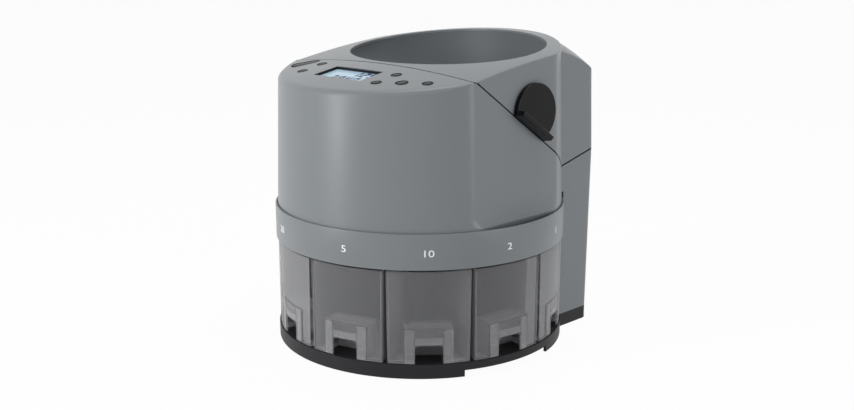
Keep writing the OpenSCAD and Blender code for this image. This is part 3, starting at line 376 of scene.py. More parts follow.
def column(s, z, split=PANEL_REAR, beside=0.0):
    """Ray across the drum at height z: where it starts on the plane x = 0, and its direction.

    s runs from 0 at the front over 1 at the front end of the flat side, 2 at the seam, 3 at the
    rear end of the flat side and 4 at the tower to 5 at the rear. Below SPLIT_TOP the column at
    2 keeps its share of the flat side, which reaches SPLIT_CORNER to the front there.
    """
    s, z = np.broadcast_arrays(np.asarray(s, float), np.asarray(z, float))
    radius, side = drum_radius(z), drum_side(z)
    corner = np.sqrt(radius * radius - side * side)
    edge = np.arctan2(side, corner)
    seam = split * np.where(z < SPLIT_TOP, corner / SPLIT_CORNER, 1)
    y = np.where(s < 2, -corner + (seam + corner) * (s - 1), seam + (corner - seam) * (s - 2))
    level = np.minimum(z, DRUM_TOP)
    joint = math.pi - np.arcsin((tower_side(level) + beside) / drum_radius(level))
    start = math.pi - edge
    back = np.where(s < 4, start + (joint - start) * (s - 3), joint + (math.pi - joint) * (s - 4))
    turn = np.where(s < 1, edge * s, back)
    flat = (s >= 1) & (s <= 3)
    x = np.where(flat, side, radius * np.sin(turn))
    y = np.where(flat, y, -radius * np.cos(turn))
    away = np.clip((s - 3) / 2, 0, 1)
    origin = np.where(s < 1, -corner * s * s, np.where(s > 3, corner * (1 - away * away), y))
    long = np.hypot(x, y - origin)
    return origin, x / long, (y - origin) / long


def on_wall(s, z, wall, inset=0.0, **how):
    """Points at height z on a wall, or inset behind it, along the rays of column()."""
    origin, dx, dy = column(s, z, **how)
    far = solve(0 * z + 40.0, 0 * z + 260.0, lambda t: wall(t * dx, origin + t * dy, z) + inset)
    return np.stack([far * dx, origin + far * dy, z + 0 * far], -1)


def rim_rows(s, wall, skin, height, radius, count, **how):
    """Rows over the rounded edge between a wall and the top skin, from the wall to the top.

    Gives the height at which the rounding starts in each column, and the rows.
    """
    z = 0 * s + 300.0
    for _ in range(12):
        centre = on_wall(s, z, wall, radius, **how)
        z = height(centre[:, 0], centre[:, 1]) - radius
    for _ in range(8):
        centre = on_wall(s, z, wall, radius, **how)
        z = z - skin(centre[:, 0], centre[:, 1], z) - radius
    origin, dx, dy = column(s, z, **how)
    edge = on_wall(s, z, wall, **how)
    stretch = np.hypot(edge[:, 0] - centre[:, 0], edge[:, 1] - centre[:, 1]) / radius
    rows = []
    for angle in np.linspace(0, math.pi / 2, count):
        ox, oz = math.cos(angle) * stretch, math.sin(angle)

        def value(t):
            x, y = centre[:, 0] + t * ox * dx, centre[:, 1] + t * ox * dy
            return soft_max(wall(x, y, z + t * oz), skin(x, y, z + t * oz), radius)

        t = solve(0 * z, 0 * z + 4 * radius + 1, value)
        rows.append(np.stack([centre[:, 0] + t * ox * dx, centre[:, 1] + t * ox * dy, z + t * oz], -1))
    return z, rows


def grid(rows, keep=None):
    """Quads between rows of points; keep(row, column) says which of them stay."""
    points = np.array(rows)
    high, wide = points.shape[:2]
    faces = [(i * wide + j, i * wide + j + 1, (i + 1) * wide + j + 1, (i + 1) * wide + j)
             for i in range(high - 1) for j in range(wide - 1) if keep is None or keep(i, j)]
    return points.reshape(-1, 3), faces


def mirrored(sheet):
    return sheet[0] * (-1, 1, 1), sheet[1]


def inside(points, loop):
    """Which points lie inside a closed outline."""
    x, y = points[:, 0][:, None], points[:, 1][:, None]
    ax, ay = loop[:, 0], loop[:, 1]
    bx, by = np.roll(ax, -1), np.roll(ay, -1)
    cross = ((ay > y) != (by > y)) & (x < (bx - ax) * (y - ay) / np.where(by == ay, 1e-9, by - ay) + ax)
    return cross.sum(1) % 2 == 1


def patch(loop, holes, step):
    """Even triangles over a flat outline with holes, as flat points and faces."""
    rings = [np.asarray(loop, float)] + [np.asarray(hole, float) for hole in holes]
    points, edges = [], []
    for ring in rings:
        first = len(points)
        points += [tuple(p) for p in ring]
        edges += [(first + i, first + (i + 1) % len(ring)) for i in range(len(ring))]
    border = np.array(points)
    low, high = border.min(0), border.max(0)
    xs, ys = np.meshgrid(np.arange(low[0], high[0], step), np.arange(low[1], high[1], step * 0.87))
    xs[1::2] += step / 2
    fill = np.stack([xs.ravel(), ys.ravel()], -1)
    fill = fill[inside(fill, rings[0])]
    for hole in rings[1:]:
        fill = fill[~inside(fill, hole)]
    near = np.sqrt(((fill[:, None] - border[None]) ** 2).sum(-1)).min(1)
    points += [tuple(p) for p in fill[near > step * 0.6]]
    found = delaunay_2d_cdt([Vector(p) for p in points], edges, [], 0, 1e-7)
    flat = np.array([tuple(p) for p in found[0]])
    faces = np.array([tuple(f) for f in found[2]])
    middle = flat[faces].mean(1)
    keep = inside(middle, rings[0])
    for hole in rings[1:]:
        keep &= ~inside(middle, hole)
    return flat, [tuple(int(v) for v in f) for f in faces[keep]]


def lifted(flat_sheet, height):
    flat, faces = flat_sheet
    return np.column_stack([flat, height(flat[:, 0], flat[:, 1])]), faces


def make_mesh(name, sheets, heart=None, away=1):
    """One mesh from sheets in millimetres, its faces turned away from the point heart, or to it."""
    mesh = bpy.data.meshes.new(name)
    built = bmesh.new()
    for points, faces in sheets:
        corners = [built.verts.new(at(*p)) for p in points]
        for face in faces:
            if len(set(face)) > 2:
                built.faces.new([corners[v] for v in face])
    bmesh.ops.remove_doubles(built, verts=built.verts, dist=0.00001)
    bmesh.ops.dissolve_degenerate(built, edges=built.edges, dist=0.000001)
    loose = [v for v in built.verts if not v.link_faces]
    bmesh.ops.delete(built, geom=loose, context="VERTS")
    if heart is None:
        bmesh.ops.recalc_face_normals(built, faces=built.faces)
    else:
        middle = at(*heart)
        built.normal_update()
        for face in built.faces:
            face.smooth = True
            if face.normal.dot(face.calc_center_median() - middle) * away < 0:
                face.normal_flip()
    built.to_mesh(mesh)
    built.free()
    return mesh


def add_piece(name, mesh, material, body, nodes=()):
    """Puts a mesh in the scene as a piece that rides on a body and stands for CAD nodes."""
    piece = bpy.data.objects.new(name, mesh)
    bpy.context.scene.collection.objects.link(piece)
    mesh.materials.clear()
    mesh.materials.append(material)
    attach(piece, body)
    if nodes:
        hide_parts(*nodes)
    return piece


def thicken(piece, wall=WALL, edge=0.35, steps=2):
    """Gives a sheet its wall, inwards, and rounds the edges of the wall."""
    body = piece.modifiers.new("wall", "SOLIDIFY")
    body.thickness = wall * MM
    body.offset = -1
    body.use_even_offset = True
    body.use_quality_normals = True
    rounding = piece.modifiers.new("edges", "BEVEL")
    rounding.width = edge * MM
    rounding.segments = steps
    rounding.limit_method = "ANGLE"
    rounding.angle_limit = math.radians(50)
    rounding.harden_normals = True


def soften(piece, edge=0.3, steps=2):
    """Rounds the sharp edges of a solid piece and shades the rest smooth."""
    smooth = piece.modifiers.new("smooth", "NODES")
    smooth.node_group = shade_group
    if edge:
        rounding = piece.modifiers.new("edges", "BEVEL")
        rounding.width = edge * MM
        rounding.segments = steps
        rounding.limit_method = "ANGLE"
        rounding.angle_limit = math.radians(40)
        rounding.harden_normals = True


# Columns as column() counts them, closer together where the wall bends.
FRONT = np.concatenate([np.linspace(0, 0.985, 44), [0.9936, 0.9976, 0.9988, 1]])
FLAT_NOSE = np.array([1.075, 1.155, 1.41, 1.7, 2])
FLAT = np.concatenate([[2.006, 2.02], np.linspace(2.045, 2.97, 30), [2.9906, 2.9965, 2.9983, 3]])
REAR_ARC = np.concatenate([[3.0038, 3.0078, 3.0207], np.linspace(3.06, 3.985, 14), [4]])

RIM_R, RIM_END_R = 5, 0.8
front_s = np.concatenate([FRONT, FLAT_NOSE])
rim_fade = np.clip((front_s - 0.75) / 0.27, 0, 1) ** 1.5
rim_radius = RIM_R - (RIM_R - RIM_END_R) * rim_fade
rim_z, rim = rim_rows(front_s, drum_wall, panel_skin, panel_height, rim_radius, 9)
low_z = rim_z - 0.1
flare_z = FLARE_TOP - 9.98 * np.cos(np.linspace(0, math.pi / 2, 10))
foot = np.concatenate([[150.1, 155, 158.8, 158.98], flare_z])
climb = np.concatenate([np.linspace(0, 0.985, 16), [0.995, 1]])
rows = [on_wall(front_s, 0 * front_s + z, drum_wall) for z in foot]
rows += [on_wall(front_s, FLARE_TOP + (low_z - FLARE_TOP) * f, drum_wall) for f in climb[1:]]
front_wall = grid(rows + rim)
corner_z = low_z[-1]


def front_top(y):
    return np.minimum(corner_z, seam_height(y) - HALF_SEAM)


def boundary(s, level, wall, start, **how):
    """Height in each column where the wall meets the line level(y)."""
    z = 0 * s + start
    for _ in range(60):
        z = 0.5 * z + 0.5 * level(on_wall(s, z, wall, **how)[:, 1])
    return z


side_s = np.concatenate([[2], FLAT, REAR_ARC])
side_z = boundary(side_s, front_top, drum_wall, 250.0, beside=0.6)
rows = [on_wall(side_s, 0 * side_s + z, drum_wall, beside=0.6) for z in foot]
rows += [on_wall(side_s, FLARE_TOP + (side_z - FLARE_TOP) * f, drum_wall, beside=0.6) for f in climb[1:]]
side_wall = grid(rows)

# The window's centre, width and depth, and for each key its centre, half width, half the
# straight part of a long key, and its turn in degrees.
window = (-4.2, -102, 75.5, 34.6)
keys = {"oval_button": (-103.8, -80.6, 8.2, 8.5, 55), "left_rear_button": (-73.6, -80.6, 6, 0, 0),
        "left_front_button": (-72.5, -109.3, 6, 0, 0), "right_front_button": (54.8, -115.1, 6, 0, 0),
        "right_rear_button": (54.6, -86.8, 6, 0, 0), "start_button": (79.8, -103.1, 7, 0, 0),
        "right_end_button": (104.5, -91.2, 6, 0, 0)}


def on_panel(x, y, along, across, up=0.0):
    """Point beside (x, y) on the panel: along to the right, across up the slope, up out of it."""
    sink = CROWN_R - math.sqrt(CROWN_R * CROWN_R - x * x)
    across = across + (y - PANEL_Y) / math.cos(SLOPE)
    rise = up - sink
    return (x + along, PANEL_Y + across * math.cos(SLOPE) - rise * math.sin(SLOPE),
            PANEL_Z + across * math.sin(SLOPE) + rise * math.cos(SLOPE))


def key_outline(half, straight, turn, steps=48):
    """Outline of a round key, or of a long one with round ends, turned on the panel."""
    turn = math.radians(turn)
    points = []
    for k in range(steps):
        a = 2 * math.pi * (k + 0.5) / steps
        x = half * math.cos(a) + math.copysign(straight, math.cos(a))
        y = half * math.sin(a)
        points.append((x * math.cos(turn) - y * math.sin(turn), x * math.sin(turn) + y * math.cos(turn)))
    return points


def panel_hole(x, y, outline):
    return [on_panel(x, y, px, py)[:2] for px, py in outline]


def round_box(wide, deep, corner, steps=4):
    """Outline of a rectangle with rounded corners, with extra points along its sides."""
    points = []
    for cx, cy, start in ((1, 1, 0), (-1, 1, 90), (-1, -1, 180), (1, -1, 270)):
        for k in range(steps + 1):
            a = math.radians(start + 90 * k / steps)
            points.append((cx * (wide / 2 - corner) + corner * math.cos(a),
                           cy * (deep / 2 - corner) + corner * math.sin(a)))
    full = []
    for a, b in zip(points, points[1:] + points[:1]):
        parts = max(1, int(math.dist(a, b) / 3))
        full += [(a[0] + (b[0] - a[0]) * k / parts, a[1] + (b[1] - a[1]) * k / parts) for k in range(parts)]
    return full


panel_holes = [panel_hole(window[0], window[1], round_box(window[2], window[3], 1.2))]
for x, y, half, straight, turn in keys.values():
    panel_holes.append(panel_hole(x, y, key_outline(half + 0.1, straight, turn)))
edge_row = rim[-1]
seam_x = edge_row[-1, 0]
cross = [(x, PANEL_REAR) for x in np.linspace(seam_x, -seam_x, 80)[1:-1]]
panel_loop = [tuple(p[:2]) for p in edge_row[::-1] * (-1, 1, 1)][:-1] + [tuple(p[:2]) for p in edge_row]
panel_loop += cross
panel_sheet = lifted(patch(panel_loop, panel_holes, 5.0), panel_height)
front_mesh = make_mesh("front_housing_skin", [front_wall, mirrored(front_wall), side_wall,
                                              mirrored(side_wall), panel_sheet], (0, 0, 200))
front_skin = add_piece("front_housing_skin", front_mesh, housing_grey, "chassis",
                       ["front_housing"])
thicken(front_skin)

# ---- Hopper housing ----
# Grey satin moulding around the bowl, with the upper part of the rear tower. It swings back on two
# hinges. Its top is one wide dome that ends in a crisp edge, and the tower behind it is domed lower.

DOME_R = 1269
DOME_Y, DOME_Z = 187.8, -928.158
TOWER_DOME_R = 211.7
TOWER_DOME_Y, TOWER_DOME_Z = 75.6, 146.713


def top_skin(x, y, z):
    """Distance above the wide dome of the hopper top."""
    return np.sqrt(x * x + (y - DOME_Y) ** 2 + (z - DOME_Z) ** 2) - DOME_R


def top_height(x, y):
    return DOME_Z + np.sqrt(DOME_R * DOME_R - x * x - (y - DOME_Y) ** 2)


def tower_skin(x, y, z):
    """Distance above the tower top, the lower of the wide dome and a small dome of its own."""
    small = np.sqrt(x * x + (y - TOWER_DOME_Y) ** 2 + (z - TOWER_DOME_Z) ** 2) - TOWER_DOME_R
    return soft_max(top_skin(x, y, z), small, 4)


def tower_height(x, y):
    return solve(0 * x + 200, 0 * x + 345, lambda z: tower_skin(x, y, z))


behind = dict(split=HOPPER_FRONT)
drum_s = np.concatenate([[2], FLAT, REAR_ARC, [4.012, 4.02], np.linspace(4.05, 5, 34)])
origin, dx, dy = column(drum_s, 325.0 + 0 * drum_s, **behind)
reach = on_wall(drum_s, 325.0 + 0 * drum_s, drum_wall, **behind)
step = top_height(reach[:, 0], reach[:, 1]) - tower_height(reach[:, 0], reach[:, 1])
edge_r = np.where(drum_s < 4, 0.7 + 0.6 * np.clip((drum_s - 2) / 0.15, 0, 1),
                  np.clip(step * 0.3, 0.08, 1.3))
top_z, top_rim = rim_rows(drum_s, drum_wall, top_skin, top_height, edge_r, 7, **behind)
mark = int(np.argmin(abs(drum_s - 4)))
floor = tower_height(reach[:, 0], reach[:, 1]) - 0.8
low_s = boundary(drum_s, lambda y: seam_height(y) + HALF_SEAM, drum_wall, 250.0, **behind)
low_s = np.minimum(low_s, top_z - 0.06)
middle_z = np.maximum(top_z - (top_z[mark] - floor[mark]), low_s + 0.03)
middle_z = np.where(drum_s > 4.001, np.minimum(floor, top_z - 0.01), middle_z)
low_s = np.where(drum_s > 4.001, middle_z - 1, low_s)
lower = climb[:-1]
rows = [on_wall(drum_s, low_s + (middle_z - low_s) * f, drum_wall, **behind) for f in lower]
for f in np.linspace(0, 1, 6):
    rows.append(on_wall(drum_s, middle_z + (top_z - middle_z) * f, drum_wall, **behind))
drum_sheet = grid(rows + top_rim[1:], lambda i, j: i >= len(lower) - 1 or j < mark + 2)

tower_s = np.concatenate([[3.96, 3.98], np.linspace(4, 5, 72)])
tower_z, tower_rim = rim_rows(tower_s, tower_wall, tower_skin, tower_height, 0 * tower_s + 2.2, 7, **behind)
tower_low = boundary(tower_s, lambda y: seam_height(y) + HALF_SEAM, tower_wall, 200.0, **behind)
rows = [on_wall(tower_s, tower_low + (tower_z - tower_low) * f, tower_wall, **behind) for f in climb]
outer = tower_rim[-1]
origin, dx, dy = column(tower_s, tower_z, **behind)
far = np.hypot(outer[:, 0], outer[:, 1] - origin)
edge = on_wall(tower_s, tower_height(outer[:, 0], outer[:, 1]), drum_wall, **behind)
gap = top_height(edge[:, 0], edge[:, 1]) - tower_height(edge[:, 0], edge[:, 1])
near = np.hypot(edge[:, 0], edge[:, 1] - origin) + 0.03 - 0.8 * np.clip(gap / 2, 0, 1)
flat_rows = []
for f in np.linspace(0, 1, 12)[1:]:
    x = (far + (near - far) * f) * dx
    y = origin + (far + (near - far) * f) * dy
    flat_rows.append(np.stack([x, y, tower_height(x, y)], -1))
tower_sheet = grid(rows + tower_rim[1:] + flat_rows)

RIM_A, RIM_B, RIM_Y = 124, 98, 42.2
round_turn = np.linspace(0, 2 * math.pi, 145)[:-1]
bowl_rim = [(RIM_A * math.cos(a), RIM_Y + RIM_B * math.sin(a)) for a in round_turn]
edge_row = top_rim[-1]
cross = [(x, HOPPER_FRONT) for x in np.linspace(edge_row[0, 0], -edge_row[0, 0], 80)[1:-1]]
top_loop = [tuple(p[:2]) for p in edge_row[:-1]] + [tuple(p[:2]) for p in edge_row[::-1] * (-1, 1, 1)]
top_loop = top_loop + [tuple(p) for p in np.array(cross) * (-1, 1)]
top_sheet = lifted(patch(top_loop, [bowl_rim], 5.0), top_height)
hopper_mesh = make_mesh("hopper_housing_skin", [drum_sheet, mirrored(drum_sheet), tower_sheet,
                                                mirrored(tower_sheet), top_sheet], (0, 40, 200))
hopper_skin = add_piece("hopper_housing_skin", hopper_mesh, housing_grey, "hopper",
                        ["hopper_housing"])
thicken(hopper_skin)

# ---- Rear cover ----
# Lower part of the rear tower: a grey satin moulding with rounded corners and cut-outs for the
# mains socket, the switch and the data socket, screwed to the base from inside.


CUP_BAY_TOP, CUP_BAY_R = 119, 158.1
HOOP_TOP, HOOP_R = 163, 165.6


def cover_front(z):
    """Depth at which the sides of the cover start, close behind cup bay, label ring and drum."""
    x = tower_side(z)
    near = np.where(z < CUP_BAY_TOP, CUP_BAY_R, np.where(z < HOOP_TOP, HOOP_R, drum_radius(z) + 0.4))
    return np.sqrt(near * near - x * x)


def cover_point(u, z):
    """Point on the outline of the tower at height z: side for u below 1, corner from 1 to 2."""
    x, back = tower_side(z), tower_rear(z)
    front = cover_front(z)
    turn = (np.clip(u, 1, 2) - 1) * math.pi / 2
    side_y = front + (back - TOWER_CORNER - front) * np.clip(u, 0, 1)
    px = np.where(u <= 1, x, x - TOWER_CORNER + TOWER_CORNER * np.cos(turn))
    py = np.where(u <= 1, side_y, back - TOWER_CORNER + TOWER_CORNER * np.sin(turn))
    return np.stack([px, py, z + 0 * u], -1)


cover_u = np.concatenate([[0, 0.012], np.linspace(0.06, 0.97, 12), [1], np.linspace(1.1, 1.9, 9), [2]])
cover_top = 0 * cover_u + 200.0
for _ in range(40):
    cover_top = 0.5 * cover_top + 0.5 * (seam_height(cover_point(cover_u, cover_top)[:, 1]) - HALF_SEAM)
levels = [TOWER_FOOT, 17.2, 30, 50, 75, 100, 118.2, 118.99, 119.01, 119.8, 140, 162.2, 162.99]
rows = [cover_point(cover_u, z + 0 * cover_u) for z in levels]
above_step = 163.01
for f in (0, 0.02, 0.2, 0.4, 0.6, 0.8, 0.97, 1):
    rows.append(cover_point(cover_u, above_step + (cover_top - above_step) * f))
cover_side = grid(rows)
rear_edge = [tuple(row[-1][[0, 2]]) for row in rows]
bottom = [(x, rear_edge[0][1]) for x in np.linspace(-rear_edge[0][0], rear_edge[0][0], 44)[1:-1]]
top = [(x, rear_edge[-1][1]) for x in np.linspace(rear_edge[-1][0], -rear_edge[-1][0], 44)[1:-1]]
rear_loop = bottom + rear_edge + top + [(-x, z) for x, z in rear_edge[::-1]]
SOCKET_Z = 48
rear_holes = []
for x, wide, high in ((-60, 28, 21), (-20, 14, 20), (45, 15, 13)):
    rear_holes.append([(x + px, SOCKET_Z + pz) for px, pz in round_box(wide, high, 0.6, 2)])
flat, faces = patch(rear_loop, rear_holes, 7.0)
rear_sheet = (np.column_stack([flat[:, 0], tower_rear(flat[:, 1]), flat[:, 1]]), faces)
cover_mesh = make_mesh("rear_cover_skin", [cover_side, mirrored(cover_side), rear_sheet], (0, 40, 110))
cover_skin = add_piece("rear_cover_skin", cover_mesh, housing_grey, "chassis", ["rear_cover"])
thicken(cover_skin)

# ---- Seam shade strips ----
# Thin black strips let into the edges of the front housing and the rear cover at the seams to the
# hopper. They are painted shade, a dark sheet for the shade in the seam gaps, so the seams show as dark
# lines.


def prism(outline, low, high, point):
    """Closed block over an outline, from low to high, placed by point(x, y, z)."""
    n = len(outline)
    points = [point(x, y, low) for x, y in outline] + [point(x, y, high) for x, y in outline]
    faces = [(i, (i + 1) % n, n + (i + 1) % n, n + i) for i in range(n)]
    return np.array(points), faces + [tuple(range(n - 1, -1, -1)), tuple(range(n, 2 * n))]


def strip(edges):
    """Closed strip from four edge lines: outer low, outer high, inner high and inner low."""
    points, faces = grid(edges + edges[:1])
    wide = len(edges[0])
    ends = [tuple(wide * k for k in range(4)), tuple(wide * k + wide - 1 for k in range(4))]
    return points, faces + ends


STRIP = ((-0.9, 0.8), (0.9, 0.8), (0.9, 2.3), (-0.9, 2.3))
seam_shade_s = np.concatenate([[2.001], FLAT, REAR_ARC[:-1]])
seam_shade_edges = []
for rise, inset in STRIP:

    def seam_shade_height(y):
        return np.minimum(corner_z + 0.4, seam_height(y)) + rise

    level = boundary(seam_shade_s, seam_shade_height, drum_wall, 250.0, beside=0.6)
    seam_shade_edges.append(on_wall(seam_shade_s, level, drum_wall, inset, beside=0.6))
drum_seam_shade = strip(seam_shade_edges)
cover_edges = []
for rise, inset in STRIP:
    level = cover_top + HALF_SEAM + rise
    outline = cover_point(cover_u, level)
    turn = (np.clip(cover_u, 1, 2) - 1) * math.pi / 2
    cover_edges.append(outline - inset * np.stack([np.cos(turn), np.sin(turn), 0 * turn], -1))
corner_seam_shade = strip(cover_edges)
span = np.linspace(-cover_edges[0][-1][0], cover_edges[0][-1][0], 12)
rear_edges = [np.stack([span, 0 * span + line[-1][1], 0 * span + line[-1][2]], -1) for line in cover_edges]
rear_seam_shade = strip(rear_edges)
panel_x = np.linspace(-seam_x + 0.5, seam_x - 0.5, 90)
panel_edges = []
for across, inset in STRIP:
    y = 0 * panel_x + PANEL_Y + across
    panel_edges.append(np.stack([panel_x, y, panel_height(panel_x, y) - inset], -1))
seam_shade_pieces = [drum_seam_shade, mirrored(drum_seam_shade), corner_seam_shade, mirrored(corner_seam_shade), rear_seam_shade, strip(panel_edges)]
# Near-black material of the seam strips: painted shade for the shade inside the seam gaps.
seam_painted_shade = moulded("seam_painted_shade", (0.004, 0.004, 0.005), 0.6, shine=0.1)
add_piece("seam_shade_strips", make_mesh("seam_shade_strips", seam_shade_pieces), seam_painted_shade, "chassis")

# ---- Foot plates ----
# A flat grey plate on each side, moulded with the drum, fills the foot under the flare of the
# flat side, down behind the lip of the label ring.

PLATE_IN, PLATE_OUT = 150.4, 151.9
PLATE_LOW, PLATE_HIGH = 150.2, 158.7
side_plates = []
for side in (-1, 1):
    inner_x, outer_x = side * PLATE_IN, side * PLATE_OUT
    outline = [(inner_x, -57), (outer_x, -55.6), (outer_x, 55.6), (inner_x, 57)]
    side_plates.append(prism(outline, PLATE_LOW, PLATE_HIGH, lambda x, y, z: (x, y, z)))
plates = add_piece("foot_seals", make_mesh("foot_seals", side_plates), housing_grey, "chassis")
soften(plates, 0.1)

# ---- Label ring ----
# Grey satin hoop over the cups that carries the drum on a shelf behind its lip. The coin values
# are printed on it in white.


def hoop(profile, end_gap, count):
    """Turns a closed profile round the drum axis, up to the sides of the tower."""
    points, faces = [], []
    for f in np.linspace(-1, 1, count):
        for radius, z in profile:
            end = math.pi - math.asin((tower_side(z) + end_gap) / radius)
            points.append((radius * math.sin(f * end), -radius * math.cos(f * end), z))
    n = len(profile)
    for i in range(count - 1):
        for j in range(n):
            k = (j + 1) % n
            faces.append((i * n + j, i * n + k, (i + 1) * n + k, (i + 1) * n + j))
    faces.append(tuple(range(n)))
    faces.append(tuple((count - 1) * n + j for j in range(n - 1, -1, -1)))
    return np.array(points), faces


def arc(cx, cz, r, start, stop, steps=5):
    return [(cx + r * math.cos(math.radians(start + (stop - start) * k / steps)),
             cz + r * math.sin(math.radians(start + (stop - start) * k / steps))) for k in range(steps + 1)]


RING_R = 165
lip = arc(RING_R - 0.8, 156.3, 0.8, 0, 90) + arc(163.2, 156.4, 0.7, 90, 180)
shelf = [(162.5, 150), (140, 150), (140, 147.5), (162.5, 147.5)]
cup_stop = [(162.5, 124), (158.4, 124), (158.4, 121.5), (162.5, 121.5), (162.5, 119)]
ring_profile = arc(RING_R - 0.4, 119.4, 0.4, -90, 0, 3) + lip + shelf + cup_stop
end_gap = 1.7
ring_mesh = make_mesh("label_ring_hoop", [hoop(ring_profile, end_gap, 220)])
label_hoop = add_piece("label_ring_hoop", ring_mesh, housing_grey, "chassis", ["label_ring"])
soften(label_hoop)

print_white = moulded("print_white", (0.82, 0.83, 0.84), 0.5, bump=0.02)
FIGURE_HIGH, FIGURE_Z = 7.3, 133.3
FIGURE_WIDER = 1.3
INK_R = RING_R + 0.03
values = (("5", 17.4), ("10", 49.2), ("2", 80.4), ("1", 110.3), ("20", -20.4), ("100", -49.2),
          ("50", -82), ("200", -114.8))
for text, angle in values:
    curve = bpy.data.curves.new("value_" + text, "FONT")
    curve.body = text
    curve.align_x = "CENTER"
    curve.size = 0.01
    curve.offset = 0.00006
    holder = bpy.data.objects.new("value_" + text, curve)
    bpy.context.scene.collection.objects.link(holder)
    bpy.context.view_layer.update()
    letters = bpy.data.meshes.new_from_object(holder.evaluated_get(bpy.context.evaluated_depsgraph_get()))
    bpy.data.objects.remove(holder)
    co = np.zeros(len(letters.vertices) * 3)
    letters.vertices.foreach_get("co", co)
    co = co.reshape(-1, 3)
    scale = FIGURE_HIGH / (co[:, 1].max() - co[:, 1].min())
    co[:, 0] *= FIGURE_WIDER
    turn = math.radians(angle) + (co[:, 0] - (co[:, 0].max() + co[:, 0].min()) / 2) * scale / RING_R
    height = FIGURE_Z + (co[:, 1] - co[:, 1].min()) * scale
    co = np.stack([INK_R * np.sin(turn), -INK_R * np.cos(turn) + axis_y, height], -1) * MM
    letters.vertices.foreach_set("co", co.ravel())
    letters.update()
    letters.name = "value_" + text
    add_piece("value_" + text, letters, print_white, "chassis")

# ---- Bowl and feed disc ----
# Darker grey bowl that narrows from an oval rim to a round bottom, clipped under the hopper top.
# The disc in its bottom turns on the feed motor and carries coins to the outlet.

bowl_grey = moulded("bowl_grey", (0.12, 0.132, 0.142), 0.5)
WELL_R, WELL_Y = 62, 50
WELL_TOP, FLOOR_Z = 244.013, 238.013
FLOOR_WALL = 3
RIM_BELOW_TOP = 2.65
FLOOR_R, SHAFT_HOLE_R = 64.2, 3.1
OUTLET_R, OUTLET_Y = 15, 12


def bowl_row(t, steps=160):
    """Row around the bowl: t is 0 where the round well ends and 1 at the oval rim."""
    share = math.sin(math.pi / 2 * max(t, 0))
    a = np.linspace(0, 2 * math.pi, steps + 1)
    x = (WELL_R + (RIM_A - WELL_R) * share) * np.cos(a)
    y = WELL_Y + (RIM_Y - WELL_Y) * share + (WELL_R + (RIM_B - WELL_R) * share) * np.sin(a)
    z = FLOOR_Z + 0 * x if t < 0 else WELL_TOP + t * (top_height(x, y) - RIM_BELOW_TOP - WELL_TOP)
    return np.stack([x, y, z], -1)


bowl_sheet = grid([bowl_row(t) for t in [-1, 0, 0.02] + list(np.linspace(0.06, 0.98, 24)) + [1]])
bowl_mesh = make_mesh("hopper_bowl_skin", [bowl_sheet], (0, 45, 420), -1)
circle = [(math.cos(a), math.sin(a)) for a in np.linspace(0, 2 * math.pi, 97)[:-1]]
floor_edge = [(FLOOR_R * x, WELL_Y + FLOOR_R * y) for x, y in circle]
shaft_hole = [(SHAFT_HOLE_R * x, WELL_Y + SHAFT_HOLE_R * y) for x, y in circle[::3]]
coin_outlet = [(OUTLET_R * x, OUTLET_Y + OUTLET_R * y) for x, y in circle[::2]]
floor_sheet = lifted(patch(floor_edge, [shaft_hole, coin_outlet], 6.0), lambda x, y: FLOOR_Z + 0 * x)
floor_mesh = make_mesh("hopper_bowl_floor", [floor_sheet], (0, WELL_Y, 0))
bowl = add_piece("hopper_bowl_skin", bowl_mesh, bowl_grey, "hopper", ["hopper_bowl"])
thicken(bowl, WALL, 0.3)
bowl_floor = add_piece("hopper_bowl_floor", floor_mesh, bowl_grey, "hopper")
thicken(bowl_floor, FLOOR_WALL, 0.3)
finish_node("feed_disc", bowl_grey, 0.5)

# ---- Latch lever ----
# Satin black moulded lever on the right side: a thick disc cut flat along the seam, with a raised
# grip bar on the flat edge. Its shaft carries a hook inside that holds the hopper shut.

LEVER_Y, LEVER_Z = 25.6, 270.1
along_seam = Matrix.Rotation(math.radians(90) - SEAM_FALL, 3, "Z")
turned = Matrix.Rotation(math.radians(90) - DRAFT_ANGLE, 3, "Y") @ along_seam
lever_at = Vector((float(drum_side(np.array(LEVER_Z))), LEVER_Y, LEVER_Z))


def lever_point(x, y, z):
    """Point on the lever: x along the seam, y away from it and z out of the side."""
    return tuple(lever_at + turned @ Vector((x, y, z)))


lever_black = moulded("lever_black", (0.005, 0.005, 0.006), 0.2, bump=0.05, shine=0.16)
DISC_R, DISC_X, DISC_Y = 31.2, 1.2, -0.4
DISC_CUT = -18
DISC_BACK, DISC_FRONT = 0.35, 6.0
disc = []
cut_angle = math.asin(17 / 29.6)
for a in np.linspace(-cut_angle, math.pi + cut_angle, 90):
    disc.append((DISC_R * math.cos(a) + DISC_X, max(DISC_R * math.sin(a) + DISC_Y, DISC_CUT)))
lever_mesh = make_mesh("latch_lever_body", [prism(disc, DISC_BACK, DISC_FRONT, lever_point)])
lever = add_piece("latch_lever_body", lever_mesh, lever_black, "latch", ["latch_lever"])
soften(lever, 1.4, 4)
BAR_OUT = 14.5
bar_foot = [(-25.5, -18.4), (34, -18.4), (34, -12), (-25.5, -12)]
bar_top = [(-25.5, -18), (30, -18), (31.5, -12.6), (-25.5, -12.6)]
points, faces = prism(bar_foot, DISC_BACK, BAR_OUT, lever_point)
points[4:] = [lever_point(x, y, BAR_OUT) for x, y in bar_top]
bar_mesh = make_mesh("latch_lever_bar", [(points, faces)])
grip = add_piece("latch_lever_bar", bar_mesh, lever_black, "latch")
soften(grip, 1.0, 3)
for name in ["latch_shaft", "latch_cam", "latch_clip", "latch_catch"]:
    finish_node(name, zinc, 0.2)

# ---- Keys and display ----
# Seven satin black keys with slightly domed caps in black rings clipped into the panel, and a
# pale backlit liquid crystal display behind a black shroud.


